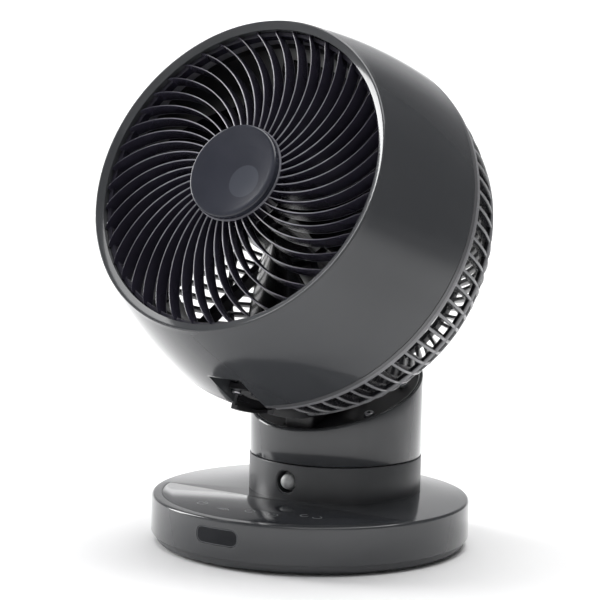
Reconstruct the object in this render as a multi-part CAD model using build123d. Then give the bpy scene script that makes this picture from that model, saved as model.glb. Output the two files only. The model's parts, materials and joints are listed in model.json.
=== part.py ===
from build123d import *
from math import acos, cos, pi, radians, sin, sqrt, tan
import os

# A globe-type desk air circulator. Millimetres, +Z up, the front of the base towards -Y.
# The origin is the centre of the base on the surface that it stands on.
# Head pieces are drawn in the head's own frame and then placed: there +Z is the air
# stream, +Y is up across the outlet, +X is the tilt axis and the origin is the tilt centre.

# ---------------------------------------------------------------- driving dimensions
# Base
base_radius = 88.0
base_top_z = 27.0
base_step_z = 6.0
base_wall = 2.5
base_edge_fillet = 1.5
plate_inset = 2.0
plate_thickness = 2.5
foot_count = 4
foot_radius = 7.0
foot_inset = 18.0
foot_stand_out = 1.0
base_screw_inset = 12.0
window_width = 27.0
window_height = 9.4
window_z = 17.6
panel_inset = 5.5
panel_corner = 9.0
panel_to_neck = 2.3
panel_thickness = 1.0
ballast_radius = 38.0
ballast_thickness = 8.0
ballast_y = -35.0
jack_bore_radius = 3.2
jack_size = 11.0
jack_z = 13.0

# Neck: the fixed collar and the yoke that swivels on it
neck_y = 24.0
neck_radius = 48.0
neck_wall = 2.5
seam_z = 47.0
seam_gap = 0.5
yoke_front_z = 66.5
yoke_slope = 19.7
spindle_radius = 16.9
sensor_z = 37.0
sensor_recess_radius = 7.0
sensor_lens_radius = 4.3

# Head
tilt_centre_y = -20.5
head_stand = 77.0
tilt_rest = 27.0
lip_radius = 89.0
lip_z = 62.0
shell_rear_radius = 105.0
shell_rear_z = -11.0
shell_wall = 2.5
rim_radius = 84.3
dome_inset = 1.3
cap_radius = 26.5
cap_stand_out = 3.8
fin_count = 45
fin_thickness = 1.4
fin_depth = 10.0
rib_count = 72
rib_thickness = 1.8
rib_depth = 4.5
duct_radius = 80.0
impeller_radius = 77.5
blade_count = 5
motor_radius = 24.0
hub_overlap = 1.0
shaft_radius = 2.5

# Tilt rail and drive
rail_channel = 20.0
rail_wall = 4.0
rail_inset = 9.0
rail_stand_out = 2.6
rail_floor = 4.0
gear_module = 1.0
gear_width = 6.0
pinion_teeth = 12
idler_teeth = 16
swivel_teeth = 40

# Fits and clearances
slip = 0.25
running = 0.08
rail_play = 0.5
mesh_backlash = 0.14
screw_radius = 1.5
screw_head_radius = 2.8
screw_head_height = 1.8
screw_hole_radius = screw_radius + 0.1
small_screw_radius = 1.0
small_head_radius = 2.0
small_hole_radius = small_screw_radius + 0.1

# ---------------------------------------------------------------- worked-out sizes
base_roof_z = base_top_z - base_wall
plate_radius = base_radius - plate_inset
foot_circle = base_radius - foot_inset
base_screw_circle = base_radius - base_screw_inset
panel_radius = base_radius - panel_inset
plate_bottom_z = foot_stand_out
plate_top_z = plate_bottom_z + plate_thickness
collar_radius = neck_radius + 0.2
neck_bore = neck_radius - neck_wall
panel_back_y = neck_y - collar_radius - panel_to_neck
yoke_bottom_z = seam_z + seam_gap
yoke_floor_z = yoke_bottom_z + 2.8
collar_deck_top_z = seam_z - 5.5
collar_deck_bottom_z = collar_deck_top_z - 2.5
swivel_gear_z = collar_deck_bottom_z - 8.0
impeller_hub_radius = motor_radius + hub_overlap
tilt_centre_z = head_stand + shell_rear_radius
dome_radius = shell_rear_radius - dome_inset
rail_inner_radius = shell_rear_radius - rail_inset
rail_outer_radius = shell_rear_radius + rail_stand_out
dome_depth = rail_inner_radius
frame_top_radius = rail_inner_radius + 6.0
frame_width = rail_channel - 2 * rail_play
rack_teeth = round(2 * (rail_inner_radius + rail_floor) / gear_module)
rack_radius = rack_teeth * gear_module / 2
pinion_radius = pinion_teeth * gear_module / 2
idler_radius = idler_teeth * gear_module / 2
swivel_radius = swivel_teeth * gear_module / 2
channel_half = rail_channel / 2
rail_half = channel_half + rail_wall
rear_disc_z = -sqrt(rail_inner_radius ** 2 - cap_radius ** 2) + 0.6

os.makedirs("parts", exist_ok=True)
tilt = radians(tilt_rest)
head_place = Location(
    Plane(
        origin=(0, tilt_centre_y, tilt_centre_z),
        x_dir=(1, 0, 0),
        z_dir=(0, -cos(tilt), sin(tilt)),
    )
)


# ---------------------------------------------------------------- small helpers
def disc(radius, low, high, x=0.0, y=0.0):
    """A solid cylinder along Z from low to high."""
    return Pos(x, y, low) * Cylinder(radius, high - low, align=(Align.CENTER, Align.CENTER, Align.MIN))


def ring(outer, inner, low, high, x=0.0, y=0.0):
    """A plain ring along Z."""
    return disc(outer, low, high, x, y) - disc(inner, low - 1, high + 1, x, y)


def rod(radius, low, high, y, z):
    """A solid cylinder along X from low to high."""
    return Pos(low, y, z) * Rot(0, 90, 0) * Cylinder(
        radius, high - low, align=(Align.CENTER, Align.CENTER, Align.MIN)
    )


def block(x_low, x_high, y_low, y_high, z_low, z_high):
    """A box given by its limits."""
    return Pos(x_low, y_low, z_low) * Box(
        x_high - x_low, y_high - y_low, z_high - z_low, align=(Align.MIN, Align.MIN, Align.MIN)
    )


def turned(outline):
    """A solid turned about Z from a closed outline of (radius, z) points or edges."""
    if isinstance(outline, list):
        outline = Polyline(*outline, close=True)
    return revolve(Plane.XZ * make_face(outline), Axis.Z)


def around(count, radius, start=0.0):
    """Places evenly spaced on a circle, each with its own x direction outwards."""
    return PolarLocations(radius, count, start_angle=start)


def screw(length, radius=screw_radius, head_radius=screw_head_radius):
    """A pan-head screw, its head standing on z = 0 and its shank below."""
    head = disc(head_radius, 0, screw_head_height)
    head = fillet(head.edges().group_by(Axis.Z)[-1], 0.7)
    drive = RegularPolygon(head_radius * 0.45, 6)
    return head + disc(radius, -length, 0.2) - Pos(0, 0, screw_head_height - 1.1) * extrude(drive, 2)


def save(name, shape, place=None):
    """Write one node, placed in the object's frame."""
    if place is not None:
        shape = place * shape
    export_step(shape, "parts/" + name + ".step")


def save_group(name, shapes, place=None):
    """Write several separate solids as one node."""
    solids = []
    for shape in shapes:
        solids += (shape if place is None else place * shape).solids()
    export_step(Compound(children=solids), "parts/" + name + ".step")


# ---------------------------------------------------------------- gears
pressure_angle = radians(25)
addendum = 0.8 * gear_module
dedendum = 1.1 * gear_module


def tooth_outline(teeth, centre_angle):
    """One involute tooth as points in its own plane, from its right root to its left root."""
    pitch = teeth * gear_module / 2
    base_circle = pitch * cos(pressure_angle)
    low, high = pitch - dedendum, pitch + addendum

    def involute(radius):
        lean = acos(min(1, base_circle / radius))
        return tan(lean) - lean

    half_width = pi / (2 * teeth) - mesh_backlash / (4 * pitch) + involute(pitch)
    start = max(low, base_circle)
    radii = [start + (high - start) * step / 4 for step in range(5)]
    flank = [(low, half_width)] + [(radius, half_width - involute(radius)) for radius in radii]
    right = [(radius, centre_angle - offset) for radius, offset in flank]
    left = [(radius, centre_angle + offset) for radius, offset in reversed(flank)]
    return [(radius * cos(angle), radius * sin(angle)) for radius, angle in right + left]


def gear(teeth, width, phase, bore):
    """A spur gear standing on z = 0, one tooth centred on the angle given as its phase."""
    points = []
    for index in range(teeth):
        points += tooth_outline(teeth, phase + 2 * pi * index / teeth)
    return extrude(make_face(Polyline(*points, close=True)), width) - disc(bore, -1, width + 1)


def meshed_phase(teeth_a, phase_a, teeth_b, direction):
    """The phase that puts gear b in mesh with gear a, whose centre it lies off in direction."""
    return direction + pi - (pi - teeth_a * (direction - phase_a)) / teeth_b


motor_ear_offset = 3.3
motor_ear_thickness = 1.0
motor_boss_radius = 4.5
shaft_stub = 5.0


def geared_motor(radius, length):
    """A small geared stepper, its front on z = 0: can, ears along Y, shaft bush and cable socket."""
    can = disc(radius, -length, 0)
    can = fillet(can.edges().group_by(Axis.Z)[-1], 1.0)
    hole_y = radius + motor_ear_offset
    ears = block(-3.2, 3.2, -hole_y - 2.7, hole_y + 2.7, -motor_ear_thickness, 0)
    ears -= disc(small_hole_radius, -2, 1, 0, hole_y) + disc(small_hole_radius, -2, 1, 0, -hole_y)
    socket = block(-4, 4, -3, 3, -length - 2.2, -length)
    motor = can + ears + socket + disc(motor_boss_radius, -0.5, 1.5)
    return motor - disc(shaft_radius + running, -shaft_stub - 0.5, 2)


# ---------------------------------------------------------------- base
base_screw_places = around(4, base_screw_circle, 45)
base_boss_radius = 4.2
motor_post_radius = 2.6


def build_base_cover():
    cover = disc(base_radius, base_step_z, base_top_z)
    cover = fillet(cover.edges().group_by(Axis.Z)[-1], base_edge_fillet)
    cover -= disc(base_radius - base_wall, base_step_z - 1, base_roof_z)
    cover -= disc(neck_opening, base_roof_z - 1, base_top_z + 1, 0, neck_y)
    cover -= Pos(*swivel_motor_xy, 0) * disc(swivel_motor_radius + 1, base_roof_z - 1, base_top_z + 1)
    cover += [place * disc(base_boss_radius, base_step_z, base_roof_z + 0.5) for place in base_screw_places]
    cover -= [place * disc(screw_hole_radius, 0, base_roof_z - 4) for place in base_screw_places]
    cover -= Pos(0, 0, base_top_z - panel_thickness) * extrude(panel_shape(0.0), panel_thickness + 1)
    cover -= [collar_screw * disc(screw_hole_radius, 0, 40) for collar_screw in collar_screw_places]
    cover -= window_prism(0.0, base_radius - 12, base_radius + 4)
    jack_way = jack_size + 0.4
    cover -= Pos(0, base_radius - 6, jack_z) * Box(jack_way, 20, jack_way)
    return cover


def panel_shape(inset):
    """The control panel's outline: a round front and a straight back beside the neck."""
    reach = 2 * base_radius
    front = Pos(0, panel_back_y - inset - reach / 2) * Rectangle(2 * reach, reach)
    crescent = Circle(panel_radius - inset) & front
    return fillet(crescent.vertices(), panel_corner)


def window_prism(inset, y_near, y_far):
    """A rounded bar through the base's front wall."""
    face = RectangleRounded(window_width - 2 * inset, window_height - 2 * inset, 4.0 - inset)
    return extrude(Plane.XZ.offset(y_near) * Pos(0, window_z) * face, y_far - y_near)


foot_places = [Pos(0, 0, 0), *around(foot_count, foot_circle)]


def build_base_plate():
    plate = disc(plate_radius, plate_bottom_z, base_step_z - 0.2)
    plate = fillet(plate.edges().group_by(Axis.Z)[0], 3.0)
    plate -= disc(plate_radius - base_wall - 2.5, plate_top_z, base_step_z + 1)
    lip = base_radius - base_wall - slip
    plate += ring(lip, lip - 2.0, plate_top_z - 0.5, base_step_z + 3)
    plate -= [place * disc(base_boss_radius + slip, base_step_z - 0.2, 20) for place in base_screw_places]
    plate += [place * disc(5.5, plate_top_z - 1, base_step_z - 0.2) for place in base_screw_places]
    plate -= [place * disc(screw_hole_radius, -1, 20) for place in base_screw_places]
    plate -= [place * disc(screw_head_radius + slip, -1, 3.2) for place in base_screw_places]
    plate -= [place * disc(foot_radius + 0.1, -1, 2.0) for place in foot_places]
    swivel_stand = ring(13.0, 10.0, plate_top_z - 1, swivel_motor_top_z - swivel_motor_length)
    plate += Pos(*swivel_motor_xy, 0) * swivel_stand
    ear_z = swivel_motor_top_z - motor_ear_thickness
    for x, y in swivel_ear_places:
        plate += disc(motor_post_radius, plate_top_z - 1, ear_z, x, y)
        plate -= disc(small_hole_radius, ear_z - 8, ear_z + 1, x, y)
    for x, y in main_board_posts:
        plate += disc(motor_post_radius, plate_top_z - 1, main_board_z, x, y)
        plate -= disc(small_hole_radius, plate_top_z, 30, x, y)
    plate -= [place * disc(screw_hole_radius, plate_bottom_z + 0.4, 9) for place in ballast_screw_places]
    half = jack_size / 2
    plate -= block(-half - 0.5, half + 0.5, jack_front_y, base_radius, plate_top_z, 20)
    seat_y = (jack_front_y, jack_front_y + 10)
    plate += block(-half - 1.5, half + 1.5, *seat_y, plate_top_z - 1, jack_z - half)
    sensor_post = block(-6, 6, receiver_y + 2.2, receiver_y + 4.6, plate_top_z - 1, window_z - 4)
    return plate + sensor_post


# ---------------------------------------------------------------- base contents
swivel_motor_length = 19.0
swivel_motor_radius = 14.0
swivel_motor_top_z = swivel_gear_z - 2.0
swivel_direction = pi
swivel_distance = swivel_radius + pinion_radius
swivel_motor_xy = (
    swivel_distance * cos(swivel_direction),
    neck_y + swivel_distance * sin(swivel_direction),
)
swivel_ear_reach = swivel_motor_radius + motor_ear_offset
swivel_ear_places = [
    (swivel_motor_xy[0], swivel_motor_xy[1] + side * swivel_ear_reach) for side in (-1, 1)
]
ballast_screw_places = [Pos(0, ballast_y, 0) * place for place in around(3, ballast_radius - 8)]
main_board_z = 13.0
main_board_x = (38.0, 70.0)
main_board_y = (-22.0, 26.0)
main_board_posts = [(x, y) for x in (41.0, 67.0) for y in (-19.0, 23.0)]
jack_length = 14.0
jack_front_y = base_radius - 2.0 - jack_length
receiver_y = -base_radius + base_wall + 4.0
panel_board_z = base_roof_z - 3.6


def build_main_board():
    """The power and control board with its larger components."""
    x_low, x_high = main_board_x
    y_low, y_high = main_board_y
    board = block(x_low, x_high, y_low, y_high, main_board_z, main_board_z + 1.6)
    board -= [Pos(x, y, 0) * disc(1.3, 0, 30) for x, y in main_board_posts]
    top = main_board_z + 1.6
    board += [disc(3.5, top, top + 7.5, 46.5, y) for y in (-12.0, -4.0)]
    board += block(55, 63, -14, -6, top, top + 2.2) + block(45, 60, 6, 18, top, top + 5.5)
    return board + block(64, 69, -6, 14, top, top + 4.0)


def build_panel_board():
    """The touch sensing board under the base's roof, with its spring pads and lamps."""
    outline = Circle(panel_radius - 12.5) & Pos(0, panel_back_y - 6 - 100) * Rectangle(84, 200)
    board = Pos(0, 0, panel_board_z) * extrude(outline, 1.2)
    pad_circle = panel_radius - 24.5
    for index in range(5):
        angle = radians(-90 + 16 * (index - 2))
        x, y = pad_circle * cos(angle), pad_circle * sin(angle)
        board += ring(3.2, 2.4, panel_board_z + 1, base_roof_z, x, y)
        board += block(x - 0.8, x + 0.8, y + 7, y + 8.6, panel_board_z + 1, panel_board_z + 2)
    return board


def build_jack():
    """The power inlet: a moulded block with a round socket and its centre contact."""
    half = jack_size / 2
    body = block(-half, half, jack_front_y, jack_front_y + jack_length, jack_z - half, jack_z + half)
    socket = Pos(0, jack_front_y + jack_length, jack_z) * Rot(90, 0, 0)
    body -= socket * disc(jack_bore_radius, -1, jack_length - 4)
    return body + socket * disc(1.0, 2.0, jack_length - 3)


# ---------------------------------------------------------------- neck
bearing_outer, bearing_inner = 37.0, 31.0
neck_opening = neck_radius - 9.0
collar_screw_places = [Pos(0, neck_y, 0) * place for place in around(4, neck_radius - 4.6, 45)]


def build_collar():
    collar = ring(collar_radius, neck_bore, base_top_z, seam_z)
    collar = chamfer(collar.edges().group_by(Axis.Z)[-1], 0.4)
    collar += ring(neck_bore + 1, neck_opening, base_top_z, base_top_z + 2.5)
    collar += ring(neck_bore + 1, spindle_radius + running, collar_deck_bottom_z, collar_deck_top_z)
    locating = (bearing_inner - slip, bearing_inner - 2.5)
    collar += ring(*locating, collar_deck_top_z - 1, collar_deck_top_z + 2.5)
    recess = Pos(0, 0, sensor_z) * Rot(90, 0, 0)
    collar -= recess * disc(sensor_recess_radius, bearing_outer + 0.5, neck_radius + 4)
    collar = Pos(0, neck_y, 0) * collar
    collar -= disc(swivel_motor_radius + 1, 20, swivel_motor_top_z + 1, *swivel_motor_xy)
    return collar - [place * disc(screw_hole_radius, 20, base_top_z + 5) for place in collar_screw_places]


def sensor_frame(shape):
    """Place a piece drawn on the sensor's own axis, z outwards from the neck's axis."""
    return Pos(0, neck_y, sensor_z) * Rot(90, 0, 0) * shape


def build_sensor_cup():
    """The cup lining the recess: an outer wall, a floor and a raised seat for the lens."""
    face = collar_radius - 0.6
    cup = ring(sensor_recess_radius - 0.1, sensor_recess_radius - 0.9, face - 7, face)
    cup += disc(sensor_recess_radius - 0.1, face - 8.5, face - 6.2)
    cup += ring(sensor_lens_radius + 0.9, sensor_lens_radius - 0.7, face - 7, face - 3.4)
    return sensor_frame(cup)


def build_sensor_lens():
    """A round-nosed lens standing in the cup."""
    seat = collar_radius - 4.0
    lens = disc(sensor_lens_radius, seat, seat + 1.2)
    dome = Pos(0, 0, seat + 1.2) * Sphere(sensor_lens_radius)
    lens += dome & disc(sensor_lens_radius, seat + 1.2, seat + 8)
    hollow = Pos(0, 0, seat + 1.2) * Sphere(sensor_lens_radius - 1.0)
    return sensor_frame(lens - hollow - disc(sensor_lens_radius - 1.0, seat - 1, seat + 1.2))


def build_sensor_can():
    """The heat sensor's metal can and its little board behind the cup."""
    back = collar_radius - 9.3
    can = ring(6.0, 2.2, back - 1.2, back)
    return sensor_frame(can + disc(2.8, back, back + 0.15) + disc(2.2, back - 1.2, back + 0.1))


def slanted_slab(z_offset, thickness):
    """Everything between two planes parallel to the yoke's sloping rim."""
    slope = radians(yoke_slope)
    plane = Plane(
        origin=(0, neck_y - neck_radius, yoke_front_z + z_offset),
        x_dir=(1, 0, 0),
        z_dir=(0, -sin(slope), cos(slope)),
    )
    slab = Box(240, 400, thickness, align=(Align.CENTER, Align.CENTER, Align.MIN))
    return plane * Pos(0, 50, 0) * slab


deck_drop = 6.0
deck_thickness = 2.2
deck_radius = neck_bore - slip
deck_post_x = neck_radius - 15.0
deck_posts = [(x, neck_y + y) for x in (-deck_post_x, deck_post_x) for y in (-16.0, 18.0)]
deck_screw_places = [
    Pos(x, y, yoke_front_z - deck_drop + (y - neck_y + neck_radius) * tan(radians(yoke_slope)))
    * Rot(yoke_slope, 0, 0)
    * Pos(0, 0, deck_thickness)
    for x, y in deck_posts
]
frame_front_y = tilt_centre_y + 7.0
frame_rear_y = neck_y + 20.0
frame_bar_offset = 28.0
frame_bar_top_z = yoke_floor_z + 4.5
frame_screw_x = frame_width / 2 + 3.5
frame_screw_places = [
    (x, neck_y + side * frame_bar_offset) for x in (-frame_screw_x, frame_screw_x) for side in (-1, 1)
]
spindle_top_z = yoke_floor_z + 2.5
spindle_flange_radius = spindle_radius + 7.1
spindle_screw_x = (spindle_radius + spindle_flange_radius) / 2 + 0.05
spindle_screw_places = [(spindle_screw_x, neck_y), (-spindle_screw_x, neck_y)]


def build_yoke():
    """The swivelling shell of the neck: a cup cut off along a slope that rises to the rear."""
    yoke = disc(neck_radius, yoke_bottom_z, 130, 0, neck_y)
    yoke -= slanted_slab(0, 200)
    yoke -= disc(neck_bore, yoke_floor_z, 140, 0, neck_y)
    rim = [edge for edge in yoke.edges() if edge.center().Z > yoke_floor_z + 5]
    yoke = fillet(rim, 0.9)
    foot = [edge for edge in yoke.edges().group_by(Axis.Z)[0] if edge.length > 200]
    yoke = chamfer(foot, 0.4)
    yoke -= disc(spindle_radius + running, 0, 100, 0, neck_y)
    posts = [disc(3.6, yoke_floor_z - 1, 120, x, y) for x, y in deck_posts]
    limit = slanted_slab(-deck_drop, 200)
    yoke += [post - limit for post in posts]
    holes = frame_screw_places + spindle_screw_places
    yoke -= [disc(screw_hole_radius, yoke_bottom_z - 1, yoke_floor_z + 1, x, y) for x, y in holes]
    return yoke - [place * disc(screw_hole_radius, -12, 2) for place in deck_screw_places]


def build_deck():
    """The dark plate that closes the yoke below its rim, slotted for the tilt frame."""
    deck = disc(deck_radius, 40, 130, 0, neck_y) & slanted_slab(-deck_drop, deck_thickness)
    half = frame_width / 2 + slip
    deck -= block(-half, half, frame_front_y - slip, frame_rear_y + slip, 30, 140)
    return deck - [place * disc(screw_hole_radius, -12, 2) for place in deck_screw_places]


def build_spindle():
    """The hollow spindle that the yoke turns on, flanged on top."""
    spindle = disc(spindle_flange_radius, yoke_floor_z, spindle_top_z)
    spindle += disc(spindle_radius, swivel_gear_z, spindle_top_z)
    spindle -= disc(9.0, 0, 100)
    spindle = Pos(0, neck_y, 0) * spindle
    return spindle - [disc(screw_hole_radius, 0, 100, x, y) for x, y in spindle_screw_places]


def build_swivel_gear():
    teeth = gear(swivel_teeth, 5.0, 0.0, spindle_radius)
    hub_height = collar_deck_bottom_z - 0.3 - swivel_gear_z
    hub = ring(spindle_radius + 1.3, spindle_radius, 0, hub_height)
    return Pos(0, neck_y, swivel_gear_z) * (teeth + hub)


def build_swivel_pinion():
    phase = meshed_phase(swivel_teeth, 0.0, pinion_teeth, swivel_direction)
    pinion = gear(pinion_teeth, 5.0, phase, shaft_radius) + disc(shaft_radius, -2 - shaft_stub, 5.0)
    return Pos(*swivel_motor_xy, swivel_gear_z) * pinion


# ---------------------------------------------------------------- tilt drive, in the plane x = 0
front_angle = pi - tilt
pinion_setback = 29.2
pinion_distance = rack_radius + pinion_radius
contact_angle = -acos(pinion_setback / pinion_distance)
pinion_yz = (
    tilt_centre_y + pinion_distance * cos(contact_angle),
    tilt_centre_z + pinion_distance * sin(contact_angle),
)
idler_angle = radians(-25)
idler_yz = (
    pinion_yz[0] + (pinion_radius + idler_radius) * cos(idler_angle),
    pinion_yz[1] + (pinion_radius + idler_radius) * sin(idler_angle),
)
drive_angle = radians(-124)
drive_yz = (
    idler_yz[0] + (pinion_radius + idler_radius) * cos(drive_angle),
    idler_yz[1] + (pinion_radius + idler_radius) * sin(drive_angle),
)
rack_phase_head = radians(105)
rack_phase_world = front_angle + rack_phase_head
pinion_phase = meshed_phase(rack_teeth, rack_phase_world, pinion_teeth, contact_angle)
idler_phase = meshed_phase(pinion_teeth, pinion_phase, idler_teeth, idler_angle)
drive_phase = meshed_phase(idler_teeth, idler_phase, pinion_teeth, drive_angle)
cavity_half = gear_width / 2 + 0.8
axle_radius = 1.5
guide_pin_radius = 1.4
guide_pin_track = rail_inner_radius + 8.0
guide_pin_angles = [radians(-82), radians(-60)]


def side_gear(teeth, phase, place, bore):
    """A gear whose axle lies along X, centred on x = 0."""
    wheel = Plane.YZ.offset(-gear_width / 2) * gear(teeth, gear_width, phase, bore)
    return Pos(0, *place) * wheel


def arc_point(radius, angle):
    """A point in the plane x = 0, as (y, z), off the tilt centre."""
    return (tilt_centre_y + radius * cos(angle), tilt_centre_z + radius * sin(angle))


def build_tilt_frame():
    """The hollow block that carries the head: it stands in the yoke and enters the rail."""
    upright = block(-frame_width / 2, frame_width / 2, frame_front_y, frame_rear_y, yoke_floor_z, 130)
    globe = rod(frame_top_radius, -30, 30, tilt_centre_y, tilt_centre_z)
    frame = upright - globe
    corners = frame.edges().filter_by(Axis.Z)
    frame = fillet(corners, 2.5)
    hollow = (frame_front_y + 3, frame_rear_y - 3)
    cavity = block(-cavity_half, cavity_half, *hollow, yoke_floor_z - 1, 130)
    cavity -= rod(frame_top_radius + 2.0, -30, 30, tilt_centre_y, tilt_centre_z)
    frame -= cavity
    slot_half = pinion_radius + 1.6
    pinion_y, pinion_z = pinion_yz
    slot = (pinion_y - slot_half, pinion_y + slot_half)
    frame -= block(-cavity_half, cavity_half, *slot, pinion_z - 8, 130)
    half = frame_width / 2
    bar_half = frame_screw_x + 4.0
    for side in (-1, 1):
        bar_y = neck_y + side * frame_bar_offset
        frame += block(-bar_half, bar_half, bar_y - 4.5, bar_y + 4.5, yoke_floor_z, frame_bar_top_z)
    heel = (frame_rear_y - 2, neck_y + frame_bar_offset)
    frame += block(-half, half, *heel, yoke_floor_z, frame_bar_top_z + 5)
    frame -= disc(spindle_flange_radius + slip, 0, spindle_top_z + slip, 0, neck_y)
    frame -= [disc(screw_hole_radius, 0, frame_bar_top_z + 1, x, y) for x, y in frame_screw_places]
    for place in (pinion_yz, idler_yz):
        frame -= rod(axle_radius, -half - 1, half + 1, *place)
    frame -= rod(motor_boss_radius + slip, 0, half + 1, *drive_yz)
    frame -= [rod(small_hole_radius, half - 5, half + 1, *place) for place in tilt_ear_places]
    for angle in guide_pin_angles:
        frame -= rod(guide_pin_radius, -half - 1, half + 1, *arc_point(guide_pin_track, angle))
    return frame


def build_tilt_motor():
    """The tilt motor beside the frame, its bush reaching in to the drive pinion."""
    motor = geared_motor(tilt_motor_radius, tilt_motor_length)
    return Pos(frame_width / 2 + slip, *drive_yz) * Rot(0, -90, 0) * motor


def build_drive_pinion():
    """The pinion on the tilt motor's shaft."""
    shaft = rod(shaft_radius, -gear_width / 2, frame_width / 2 + slip + shaft_stub, *drive_yz)
    return side_gear(pinion_teeth, drive_phase, drive_yz, shaft_radius) + shaft


tilt_motor_radius = 9.5
tilt_motor_length = 16.0
tilt_ear_reach = tilt_motor_radius + motor_ear_offset
tilt_ear_places = [(drive_yz[0] + side * tilt_ear_reach, drive_yz[1]) for side in (-1, 1)]

# ---------------------------------------------------------------- head shell and rail
shell_chord = sqrt((shell_rear_radius - lip_radius) ** 2 + (lip_z - shell_rear_z) ** 2)
shell_bulge = 1.9
screw_ring = shell_rear_radius - 9.0
boss_radius = 3.4
bracket_places = around(5, screw_ring, 90)
grille_screw_places = around(4, screw_ring, 45)
duct_flange_z = shell_rear_z + 5.0
recess_start_z = 20.5
recess_floor = rail_inner_radius - 0.9
recess_wall = 2.5


def bulged(start, end, bulge):
    """An arc between two (radius, z) points that stands out from its chord."""
    (r_a, z_a), (r_b, z_b) = start, end
    length = sqrt((r_a - r_b) ** 2 + (z_a - z_b) ** 2)
    middle = (
        (r_a + r_b) / 2 + bulge * abs(z_a - z_b) / length,
        (z_a + z_b) / 2 + bulge * abs(r_a - r_b) / length,
    )
    return ThreePointArc(start, middle, end)


def shell_radius_at(z):
    """The shell's outer radius at a height, along its chord."""
    share = (z - shell_rear_z) / (lip_z - shell_rear_z)
    chord = shell_rear_radius + (lip_radius - shell_rear_radius) * share
    return chord + 4 * shell_bulge * share * (1 - share)


def build_shell():
    rear = (shell_rear_radius, shell_rear_z)
    shoulder = (lip_radius, lip_z - 0.9)
    crest = (lip_radius - 1.4, lip_z)
    funnel = (rim_radius, lip_z - 1.8)
    sleeve_end = lip_z - 16.0
    pocket_z = lip_z - 4.6
    inner_front = (shell_radius_at(pocket_z) - shell_wall, pocket_z)
    inner_rear = (shell_rear_radius - shell_wall, shell_rear_z)
    outline = Curve() + [
        bulged(rear, shoulder, shell_bulge),
        ThreePointArc(shoulder, (lip_radius - 0.35, lip_z - 0.15), crest),
        Line(crest, funnel),
        Line(funnel, (rim_radius, sleeve_end)),
        Line((rim_radius, sleeve_end), (rim_radius + 1.8, sleeve_end)),
        Line((rim_radius + 1.8, sleeve_end), (rim_radius + 1.8, pocket_z)),
        Line((rim_radius + 1.8, pocket_z), inner_front),
        bulged(inner_rear, inner_front, shell_bulge),
        Line(inner_rear, rear),
    ]
    shell = turned(outline)
    solid_cone = turned([(0, shell_rear_z), rear, (shell_radius_at(25), 25), (0, 25)])
    bosses = [place * disc(boss_radius, duct_flange_z + 2.5, 22) for place in bracket_places]
    shell += [boss & solid_cone for boss in bosses]
    shell -= [place * disc(screw_hole_radius, -20, 14) for place in bracket_places]
    half = channel_half + slip
    side = half + recess_wall
    depth = (-shell_rear_radius + 2, -recess_floor + recess_wall)
    shell += block(-side, side, *depth, shell_rear_z, 20) & solid_cone
    recess = Plane.YZ.offset(-half) * make_face(Polyline(
        (-shell_radius_at(recess_start_z) - 0.2, recess_start_z),
        (-recess_floor, 3.0),
        (-recess_floor, shell_rear_z - 1),
        (-shell_rear_radius - 15, shell_rear_z - 1),
        (-shell_rear_radius - 15, recess_start_z),
        close=True,
    ))
    shell -= extrude(recess, 2 * half)
    return shell - [place * disc(screw_hole_radius, -8, 2) for place in rail_screw_places()]


rail_start, rail_full_start, rail_end = radians(90), radians(97), radians(200)


def rail_band(inner, outer, half_width, start, end):
    """A band bent about the tilt axis, between two angles measured from the air stream."""
    steps = 8
    angles = [start + (end - start) * step / steps for step in (0, steps / 2, steps)]

    def point(radius, angle):
        return (-radius * sin(angle), radius * cos(angle))

    outline = Curve() + [
        ThreePointArc(*[point(outer, angle) for angle in angles]),
        Line(point(outer, end), point(inner, end)),
        ThreePointArc(*[point(inner, angle) for angle in reversed(angles)]),
        Line(point(inner, start), point(outer, start)),
    ]
    return extrude(Plane.YZ.offset(-half_width) * make_face(outline), 2 * half_width)


def build_rail():
    """The tilt rail: a bent channel with a toothed floor and a groove in each side wall."""
    floor_radius = rack_radius - dedendum
    rail = rail_band(rail_inner_radius, rail_outer_radius, rail_half, rail_full_start, rail_end)
    channel_start = rail_full_start - radians(2)
    rail -= rail_band(floor_radius, rail_outer_radius + 5, channel_half, channel_start, rail_end + 0.1)
    tongue_end = rail_full_start + 0.01
    rail += rail_band(rail_inner_radius, floor_radius, channel_half - slip, rail_start, tongue_end)
    groove_half = guide_pin_radius + running
    low, high = guide_pin_track - groove_half, guide_pin_track + groove_half
    rail -= rail_band(low, high, channel_half + 2.4, rail_full_start - 0.02, rail_end + 0.1)
    pitch = 2 * pi / rack_teeth
    first = int((rail_start - rack_phase_head) / pitch) + 1
    last = int((rail_end - rack_phase_head) / pitch)
    root = floor_radius - 0.4
    teeth = []
    for index in range(first, last):
        centre = pi / 2 + rack_phase_head + index * pitch
        points = tooth_outline(rack_teeth, centre)
        half_root = pitch * 0.3
        foot = [
            (root * cos(centre + side), root * sin(centre + side)) for side in (half_root, -half_root)
        ]
        tooth = make_face(Polyline(*points, *foot, close=True))
        teeth.append(extrude(Plane.YZ.offset(-gear_width / 2 - 0.4) * tooth, gear_width + 0.8))
    rail = rail + teeth
    return rail - [place * disc(screw_hole_radius, -20, 20) for place in rail_screw_places()]


def rail_screw_places():
    """Two screws through the rail's flat front end into the recess floor."""
    return [Pos(x, -(rack_radius - dedendum), -5.0) * Rot(90, 0, 0) for x in (-7.0, 7.0)]


# ---------------------------------------------------------------- grilles
fin_curve_radius = 58.6
fin_curve_offset = 59.7
fin_front_z = lip_z - 0.6


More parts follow.
